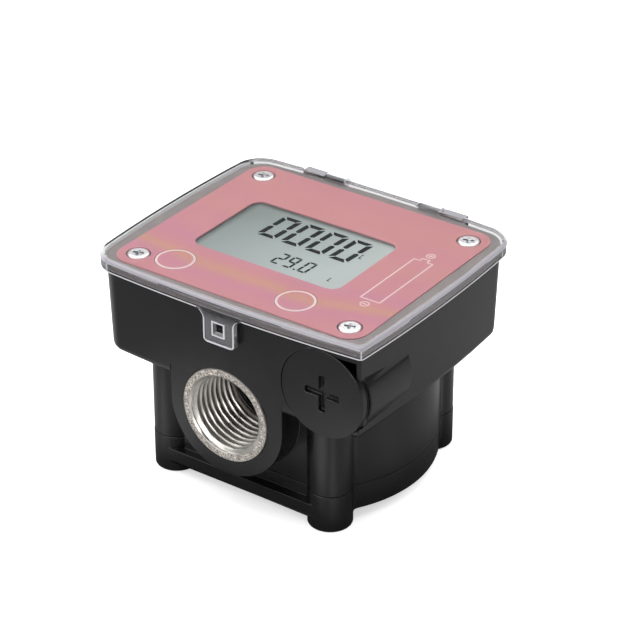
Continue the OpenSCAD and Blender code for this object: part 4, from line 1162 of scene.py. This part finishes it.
class METER_OT_label(bpy.types.Operator):
    """Lays the printed film with its window, and makes the two keys and the battery mark"""
    bl_idname = "meter.label"
    bl_label = "Label and keys"

    def execute(self, context):
        face, head = sizes().face, sizes().head
        low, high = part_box("face_label")
        under, over = low.z - OVERRUN, high.z + OVERRUN
        film, ink = printed_film(), pale_print()
        key_places = []
        for node in ("reset_key", "cal_key"):
            key_low, key_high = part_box(node)
            key_places.append((key_low + key_high) / 2)
        holes = [(place.x, place.y, face.key_radius + face.key_gap, 96) for place in key_places]
        holes += [(x, y, face.screw_hole, 64) for x, y in screw_places()]
        piece = plate(round_rect(0, 0, face.label_width, face.label_depth, head.corner), low.z, high.z)
        cut(piece, plate(round_rect(-face.window_x, 0, face.window_width, face.window_height,
                                    face.window_corner), under, over),
            *(rod(radius, (x, y, under), (x, y, over), sides) for x, y, radius, sides in holes))
        clean(piece)
        round_edges(piece, face.label_edge, angle=40.0)
        settle(piece, "printed_label", "housing", film, ["face_label"])

        reset = self.key("reset_key")
        cal = copy_of(reset, Matrix.Translation(key_places[1] - key_places[0]))
        settle(reset, "reset_keytop", "reset_button", [film, ink], ["reset_key"])
        settle(cal, "cal_keytop", "cal_button", [film, ink], ["cal_key"])
        settle(self.battery_mark(high.z), "battery_mark", "housing", ink)
        return {"FINISHED"}

    @staticmethod
    def key(node):
        """A flat key disc on its stem, whose ring has the second material slot."""
        face = sizes().face
        low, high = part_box(node)
        x, y = (low.x + high.x) / 2, (low.y + high.y) / 2
        disc_z = high.z - face.key_height
        piece = rod(face.key_radius, (x, y, disc_z), (x, y, high.z), 96)
        edit(piece)
        pick(piece, "faces", lambda f: f.normal.z > 0.9)
        bpy.ops.mesh.inset(thickness=face.key_ring, depth=0.0)
        bpy.ops.mesh.inset(thickness=face.key_step, depth=-face.key_sink)
        bpy.ops.mesh.inset(thickness=face.key_dome, depth=face.key_rise)
        leave()
        weld(piece, rod(face.stem_radius, (x, y, low.z), (x, y, disc_z + 0.1 * MM), 48))
        round_edges(piece, face.key_edge, angle=50.0)
        ring_inside = face.key_radius - face.key_ring - 0.03 * MM
        for polygon in piece.data.polygons:
            from_middle = math.hypot(polygon.center.x - x, polygon.center.y - y)
            on_top = polygon.center.z > high.z - 0.04 * MM
            polygon.material_index = int(from_middle > ring_inside and on_top)
        return piece

    @staticmethod
    def battery_mark(z):
        """A plain battery symbol: a long outline with a nub, and a plus and a minus in rings."""
        mark, top = sizes().mark, z + sizes().face.ink

        def bar(x0, y0, x1, y1):
            start, end = Vector((x0, y0, 0)), Vector((x1, y1, 0))
            side = (end - start).normalized().cross(Vector((0, 0, 1))) * mark.line / 2
            corners = [start - side, start + side, end + side, end - side]
            return plate([(p.x, p.y) for p in corners], z, top)

        def across(x, half, y):
            return bar(x - half, y, x + half, y)

        x, half, nub, arm, lap = mark.x, mark.width / 2, mark.nub_width / 2, mark.arm, mark.lap
        outer, inner = mark.ring + mark.ring_line / 2, mark.ring - mark.ring_line / 2
        ring = cut(rod(outer, (x, mark.plus_y, z), (x, mark.plus_y, top), 40),
                   rod(inner, (x, mark.plus_y, z - OVERRUN), (x, mark.plus_y, z + OVERRUN), 40))
        parts = [across(x, half + lap, mark.low), across(x, nub + lap, mark.nub_top),
                 across(x, arm, mark.plus_y), across(x, arm, mark.minus_y),
                 bar(x, mark.plus_y - arm, x, mark.plus_y + arm),
                 ring, copy_of(ring, Matrix.Translation((0, mark.minus_y - mark.plus_y, 0)))]
        for side in (-1, 1):
            outside, inside = x + side * half, x + side * nub
            parts += [bar(outside, mark.low, outside, mark.high),
                      bar(inside, mark.high, inside, mark.nub_top),
                      across((outside + inside) / 2 + side * lap / 2, (half - nub + lap) / 2, mark.high)]
        return join(*parts)


def screw_places():
    """Middle of each face screw, from its CAD solid."""
    low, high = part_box("face_screws")
    radius = sizes().screw.head
    return [(x, y) for x in (low.x + radius, high.x - radius) for y in (low.y + radius, high.y - radius)]


def crossed(arm, axis):
    """Both arms of a cross: the given one, and a copy turned by a right angle."""
    return arm, copy_of(arm, Matrix.Rotation(math.radians(90), 4, axis))


def shift(pieces, place):
    """Moves pieces that were made at the origin to their place."""
    for piece in pieces:
        piece.data.transform(Matrix.Translation(place))
    return pieces


class METER_OT_screws(bpy.types.Operator):
    """Makes the pan head screws of the face, and gives the other metal parts their finish"""
    bl_idname = "meter.screws"
    bl_label = "Screws"

    def execute(self, context):
        low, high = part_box("face_screws")
        first, *others = [Vector((x, y, 0)) for x, y in screw_places()]
        screw = self.pan_screw(first, low.z, high.z)
        copies = [copy_of(screw, Matrix.Translation(place - first)) for place in others]
        steel = plated_steel()
        piece = smooth(join(screw, *copies), 30.0)
        settle(piece, "pan_head_screws", "housing", steel, ["face_screws"])
        dress(steel, "cover_screws", "hinge_pins", "left_gear_shaft", "right_gear_shaft", "board_screws",
              "timing_crystal", "cap_contact", "mouth_contact", "rear_contact")
        return {"FINISHED"}

    @staticmethod
    def pan_screw(place, low_z, top_z):
        """Pan head screw with a domed head and a tapered cross recess."""
        screw = sizes().screw
        x, y = place.x, place.y
        under = top_z - screw.head_height
        head = rod(screw.head, (x, y, under), (x, y, top_z), 64)
        edit(head)
        pick(head, "faces", lambda f: f.normal.z > 0.9)
        bpy.ops.mesh.bevel(offset=screw.crown, segments=5, affect="EDGES", profile=0.6)
        leave()
        half = Vector((screw.cross_length / 2, screw.cross_width / 2, screw.cross_depth))
        arm = edit(box(-half, half))
        pick(arm, "verts", lambda v: v.co.z < 0)
        bpy.ops.transform.resize(value=(screw.cross_toe, screw.cross_thin, 1.0), center_override=(0, 0, 0))
        leave()
        arm.data.transform(Matrix.Rotation(math.radians(screw.cross_turn), 4, "Z"))
        cut(head, *shift(crossed(arm, "Z"), (x, y, top_z)))
        return join(head, rod(screw.shank, (x, y, under), (x, y, low_z), 32))


def segment_outlines(w, h, t, gap):
    """Outlines of the seven segments of a figure, lower left corner at the origin.

    The ends are cut back by shares of the stroke t and of the gap, so that neighbours meet at a mitre.
    """
    m, g, s = h / 2, gap / 2, t / 2
    upper = [(0, h - t * 0.35 - g), (t, h - t - g * 1.4), (t, m + s * 0.6 + g), (s, m + g),
             (0, m + s * 0.8 + g)]
    lower = [(x, h - y) for x, y in upper]
    top = [(g + t * 0.25, h), (w - g - t * 0.25, h), (w - t - g, h - t), (t + g, h - t)]
    middle = [(s + g, m), (t + g, m + s), (w - t - g, m + s), (w - s - g, m), (w - t - g, m - s),
              (t + g, m - s)]
    return {"a": top, "b": [(w - x, y) for x, y in upper], "c": [(w - x, y) for x, y in lower],
            "d": [(x, h - y) for x, y in top], "e": lower, "f": upper, "g": middle}


# Lit segments of each figure, and of the small unit mark L.
LIT = {"0": "abcdef", "2": "abged", "9": "abcdfg", "L": "def"}

# Small figures and their left edges, and the unit marks' x, y, width, height and stroke, in millimetres.
SMALL_FIGURES = (("2", -3.35), ("9", 0.0), ("0", 4.35))
UNIT_MARKS = ((12.85, 3.65, 1.15, 2.4, 0.3), (13.05, -9.65, 0.95, 2.0, 0.28))


class METER_OT_display(bpy.types.Operator):
    """Writes plain numbers on the display"""
    bl_idname = "meter.display"
    bl_label = "Display"

    def execute(self, context):
        figures, ink = sizes().figures, sizes().face.ink
        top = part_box("lcd_glass")[1].z

        def figure(sign, x, y, w, h, t):
            """One figure of separate segments, leaning to the right."""
            outlines = segment_outlines(w, h, t, t * figures.gap)
            segments = []
            for name in LIT[sign]:
                leaning = [(x + px + figures.slant * py, y + py) for px, py in outlines[name]]
                segments.append(plate(anticlockwise(leaning), top, top + ink))
            return join(*segments)

        first = figure("0", figures.left, 0.0, figures.width, figures.height, figures.stroke)
        parts = [first] + [copy_of(first, Matrix.Translation((i * figures.pitch, 0, 0))) for i in (1, 2, 3)]
        for sign, x in SMALL_FIGURES:
            parts.append(figure(sign, x * MM, figures.small_y, figures.small_width, figures.small_height,
                                figures.small_stroke))
        parts += [figure("L", *(value * MM for value in mark)) for mark in UNIT_MARKS]
        left, foot = figures.point_left, figures.small_y
        parts.append(box((left, foot, top),
                         (left + figures.point_width, foot + figures.point_height, top + ink)))
        settle(join(*parts), "display_digits", "housing", display_ink())
        dress(display_with_painted_shade(), "lcd_glass")
        return {"FINISHED"}


class METER_OT_battery(bpy.types.Operator):
    """Models the battery cap with its coin cross and thread, and smooths the contact spring"""
    bl_idname = "meter.battery"
    bl_label = "Battery cap"

    def execute(self, context):
        cap = sizes().cap
        x, z, radius, low, high = cad_axis("battery_cap")
        disc_end = low.y + cap.disc
        disc = rod(radius + cap.grow, (x, low.y, z), (x, disc_end, z), 128)
        half = Vector((cap.cross_length / 2, cap.cross_width / 2, cap.cross_depth))
        arm = box((-half.x, -half.y, -half.z), half)
        edit(arm)
        pick(arm, "edges", lambda e: abs(e.verts[0].co.y - e.verts[1].co.y) > MM)
        bpy.ops.mesh.bevel(offset=cap.cross_corner, segments=4, affect="EDGES")
        leave()
        cut(disc, *shift(crossed(arm, "Y"), (x, low.y, z)))
        clean(disc)
        round_edges(disc, cap.edge, 3, 40.0)
        piece = smooth(join(disc, self.plug(x, z, disc_end, high.y - disc_end)), 40.0)
        settle(piece, "threaded_cap", "cap", black_abs(), ["battery_cap"])
        spring = modify(cad_copy("cap_spring"), "SUBSURF", levels=2, render_levels=2)
        settle(smooth(spring, 80.0), "wound_spring", "cap", plated_steel(), ["cap_spring"])
        dress(plain_plastic("Shrink sleeve", sizes().finish.sleeve, 0.3), "battery_cell")
        return {"FINISHED"}

    @staticmethod
    def plug(x, z, start, span):
        """Hollow threaded plug behind the disc, with a groove at its root for the seal."""
        cap = sizes().cap

        def radius_at(depth, angle):
            if cap.groove_start < depth < cap.groove_end:
                return cap.groove
            if depth <= cap.floor:
                return cap.outer
            fade = min((depth - cap.floor) / cap.fade, (span - depth) / cap.fade, 1.0)
            return cap.outer - cap.depth * fade * thread_height(depth / cap.pitch - angle / math.tau)

        plug = turned_tube(x, z, start, span, cap.outer, cap.sides, cap.rings, radius_at)
        pick_ring(plug, start + span)
        extrude_ring()
        widen(plug, cap.inner, x, z)
        extrude_ring(cap.floor - span)
        bpy.ops.mesh.fill()
        pick(plug, "edges", lambda e: e.is_boundary)
        bpy.ops.mesh.fill()
        outward()
        leave()
        return plug


class METER_OT_inside(bpy.types.Operator):
    """Gives the inner parts their finishes"""
    bl_idname = "meter.inside"
    bl_label = "Inner parts"

    def execute(self, context):
        f = sizes().finish
        dress(plain_plastic("Machined acetal", f.acetal, 0.38), "left_oval_gear", "right_oval_gear",
              "reset_plunger", "cal_plunger")
        dress(plain_plastic("Nitrile rubber", f.rubber, 0.6, 0.25), "cover_seal", "face_gasket", "cap_seal")
        dress(plain_plastic("Silicone strip", f.strip, 0.5), "contact_strips")
        dress(plain_plastic("Moulded epoxy", f.chip, 0.45, 0.2), "controller_chip", "reset_switch",
              "cal_switch")
        dress(plain_plastic("Sintered magnet", f.magnet, 0.4), "gear_magnets")
        dress(plain_plastic("Display reflector", f.display, 0.3), "lcd_reflector")
        dress(plain_plastic("Reed glass", f.reed, 0.1), "reed_switch")
        dress(solder_mask(), "circuit_board")
        return {"FINISHED"}


# ---------------------------------------------------------------- stage

def soft_lamp(name, place, width, height, power):
    """A rectangular softbox that faces the meter; sizes in metres, power in watts."""
    start_alone()
    bpy.ops.object.light_add(type="AREA", location=place)
    lamp = bpy.context.active_object
    lamp.name = name
    lamp.data.shape = "RECTANGLE"
    lamp.data.size, lamp.data.size_y = width, height
    lamp.data.energy = power
    middle = Vector((0, 0, 0.03))
    lamp.rotation_euler = (middle - Vector(place)).to_track_quat("-Z", "Y").to_euler()
    return lamp


class METER_OT_stage(bpy.types.Operator):
    """Sets the camera, the lamps and a plain pale floor"""
    bl_idname = "meter.stage"
    bl_label = "Stage"

    def execute(self, context):
        scene = context.scene
        scene.camera = self.camera()
        scene.view_settings.view_transform = "Standard"

        start_alone()
        bpy.ops.mesh.primitive_plane_add(size=12.0, location=(0, 0, 0))
        floor = bpy.context.active_object
        floor.name = "floor"
        floor.data.materials.append(self.paper_sweep())

        soft_lamp("top_softbox", (-0.15, 0.15, 0.75), width=1.2, height=1.2, power=8.0)
        soft_lamp("front_softbox", (-0.42, -0.45, 0.5), width=0.7, height=0.7, power=2.2)
        # Hidden from reflections, because the flat lid would mirror it as a white sheet.
        right_lamp = soft_lamp("right_softbox", (0.42, 0.6, 0.42), width=0.35, height=0.35, power=2.4)
        right_lamp.visible_glossy = False
        right_lamp.visible_transmission = False
        # Only for the reflections in the bright threads; it adds nothing to matt surfaces.
        bore_lamp = soft_lamp("bore_softbox", (0.05, -0.6, 0.12), width=0.6, height=0.22, power=1.9)
        bore_lamp.visible_diffuse = False
        self.white_world(scene)
        return {"FINISHED"}

    @staticmethod
    def camera():
        """The photograph's camera."""
        start_alone()
        bpy.ops.object.camera_add(location=CAMERA_PLACE)
        camera = bpy.context.active_object
        look, right = Vector(CAMERA_LOOK).normalized(), Vector(CAMERA_RIGHT).normalized()
        turn = Matrix((right, right.cross(look), -look)).transposed()
        camera.rotation_euler = turn.to_euler()
        camera.data.sensor_width = SENSOR_WIDTH_MM
        camera.data.lens = SENSOR_WIDTH_MM * FOCAL_PIXELS / IMAGE_PIXELS
        camera.data.clip_start, camera.data.clip_end = 0.01, 20.0
        return camera

    @staticmethod
    def seen_directly(owner, path):
        """1 for rays that show the background itself, but not for the pane's own inner reflection."""
        turned = add_node(owner, "Math", {0: path.outputs["Glossy Depth"], 1: 0.5}, operation="GREATER_THAN")
        in_pane = add_node(owner, "Math", {0: path.outputs["Transmission Depth"], 1: 2.5},
                           operation="LESS_THAN")
        inner = add_node(owner, "Math", {0: turned, 1: in_pane}, operation="MULTIPLY")
        clear = add_node(owner, "Math", {0: path.outputs["Is Transmission Ray"], 1: inner},
                         operation="SUBTRACT", use_clamp=True)
        return add_node(owner, "Math", {0: path.outputs["Is Camera Ray"], 1: clear},
                        operation="ADD", use_clamp=True)

    def paper_sweep(self):
        """Matt pale paper sweep, which reflections see with painted bright and dim parts and a painted shadow
        round the foot.
        """
        hue = sizes().finish.floor
        made, where = new_finish("Pale paper sweep", base_color=hue, roughness=0.9)
        fibre = add_node(made, "TexNoise", {"Vector": where, "Scale": per_mm(1.5), "Detail": 3.0})
        paper = add_node(made, "ValToRGB", {"Fac": fibre}, stops=((0.3, shade(hue, 0.99)), (0.7, hue)))
        parts = add_node(made, "SeparateXYZ", {"Vector": where})
        around = add_node(made, "Math", {0: parts.outputs["Y"], 1: parts.outputs["X"]}, operation="ARCTAN2")
        turn = add_node(made, "MapRange", {"Value": around, "From Min": -math.pi, "From Max": math.pi})
        close, wide = (
            add_node(made, "ValToRGB", {"Fac": turn},
                     stops=[((degrees + 180) / 360, shade(hue, level)) for degrees, level in levels])
            for levels in (PAINTED_REFLECTION_NEAR, PAINTED_REFLECTION_FAR))
        away = add_node(made, "VectorMath", {0: where}, operation="LENGTH")
        # Painted shadow: reflections see the sweep dark near the foot, then the painted near and far sectors.
        past_painted_shadow, past_near = (
            add_node(made, "MapRange", {"Value": away, "From Min": start, "From Max": end})
            for start, end in (PAINTED_SHADOW_ENDS, NEAR_ENDS))
        dim = add_node(made, "Mix", {"Factor": past_near, "A": close, "B": wide}, data_type="RGBA")
        foot = add_node(made, "Mix", {"Factor": past_painted_shadow, "A": (*shade(hue, PAINTED_SHADOW_LEVEL), 1.0), "B": dim},
                        data_type="RGBA")
        # Only glossy rays see the painted reflections and the painted shadow; other rays see the plain paper.
        path = add_node(made, "LightPath")
        add_node(made, "Mix", {"Factor": path.outputs["Is Glossy Ray"], "A": paper, "B": foot},
                 "Base Color", data_type="RGBA")
        # The camera sees most of the sweep burnt out to white, with a faint shadow left.
        made.node_tree.nodes["Principled BSDF"].inputs["Emission Color"].default_value = (1, 1, 1, 1)
        add_node(made, "MapRange", {"Value": self.seen_directly(made, path), "To Min": 0.0, "To Max": 0.55},
                 "Emission Strength")
        return made

    def white_world(self, scene):
        """White to the camera and through the lid, and a soft fill for the meter itself."""
        world = bpy.data.worlds.new("White studio")
        scene.world = world
        world.use_nodes = True
        world.node_tree.nodes["Background"].inputs["Color"].default_value = (1, 1, 1, 1)
        path = add_node(world, "LightPath")
        either = add_node(world, "Math", {
            0: path.outputs["Is Glossy Ray"], 1: path.outputs["Is Transmission Ray"]},
            operation="ADD", use_clamp=True)
        fill = add_node(world, "MapRange", {"Value": either, "To Min": 0.5, "To Max": 0.12})
        add_node(world, "Mix", {"Factor": self.seen_directly(world, path), "A": fill, "B": 1.0},
                 "Strength", data_type="FLOAT")


class METER_PT_panel(bpy.types.Panel):
    """Lists the steps that dress the meter"""
    bl_idname = "METER_PT_panel"
    bl_label = "Flow Meter"
    bl_space_type = "VIEW_3D"
    bl_region_type = "UI"
    bl_category = "Flow Meter"

    def draw(self, context):
        for step in STEPS:
            self.layout.operator(step.bl_idname)
        for group in METER_PG_all.__annotations__:
            owner = getattr(context.scene.flow_meter, group)
            column = self.layout.box().column(align=True)
            column.label(text=group.title())
            for key in owner.__annotations__:
                column.prop(owner, key)


STEPS = (METER_OT_mouldings, METER_OT_ports, METER_OT_lid, METER_OT_label, METER_OT_screws,
         METER_OT_display, METER_OT_battery, METER_OT_inside, METER_OT_stage)
CLASSES = (METER_PG_head, METER_PG_lid, METER_PG_port, METER_PG_face, METER_PG_mark, METER_PG_figures,
           METER_PG_screw, METER_PG_cap, METER_PG_finish, METER_PG_all, *STEPS, METER_PT_panel)


def register():
    for each in CLASSES:
        bpy.utils.register_class(each)
    bpy.types.Scene.flow_meter = bpy.props.PointerProperty(type=METER_PG_all)


def unregister():
    del bpy.types.Scene.flow_meter
    for each in reversed(CLASSES):
        bpy.utils.unregister_class(each)


def main():
    register()
    start_alone()
    for step in STEPS:
        area, action = step.bl_idname.split(".")
        getattr(getattr(bpy.ops, area), action)()
    start_alone()


if __name__ == "__main__":
    main()
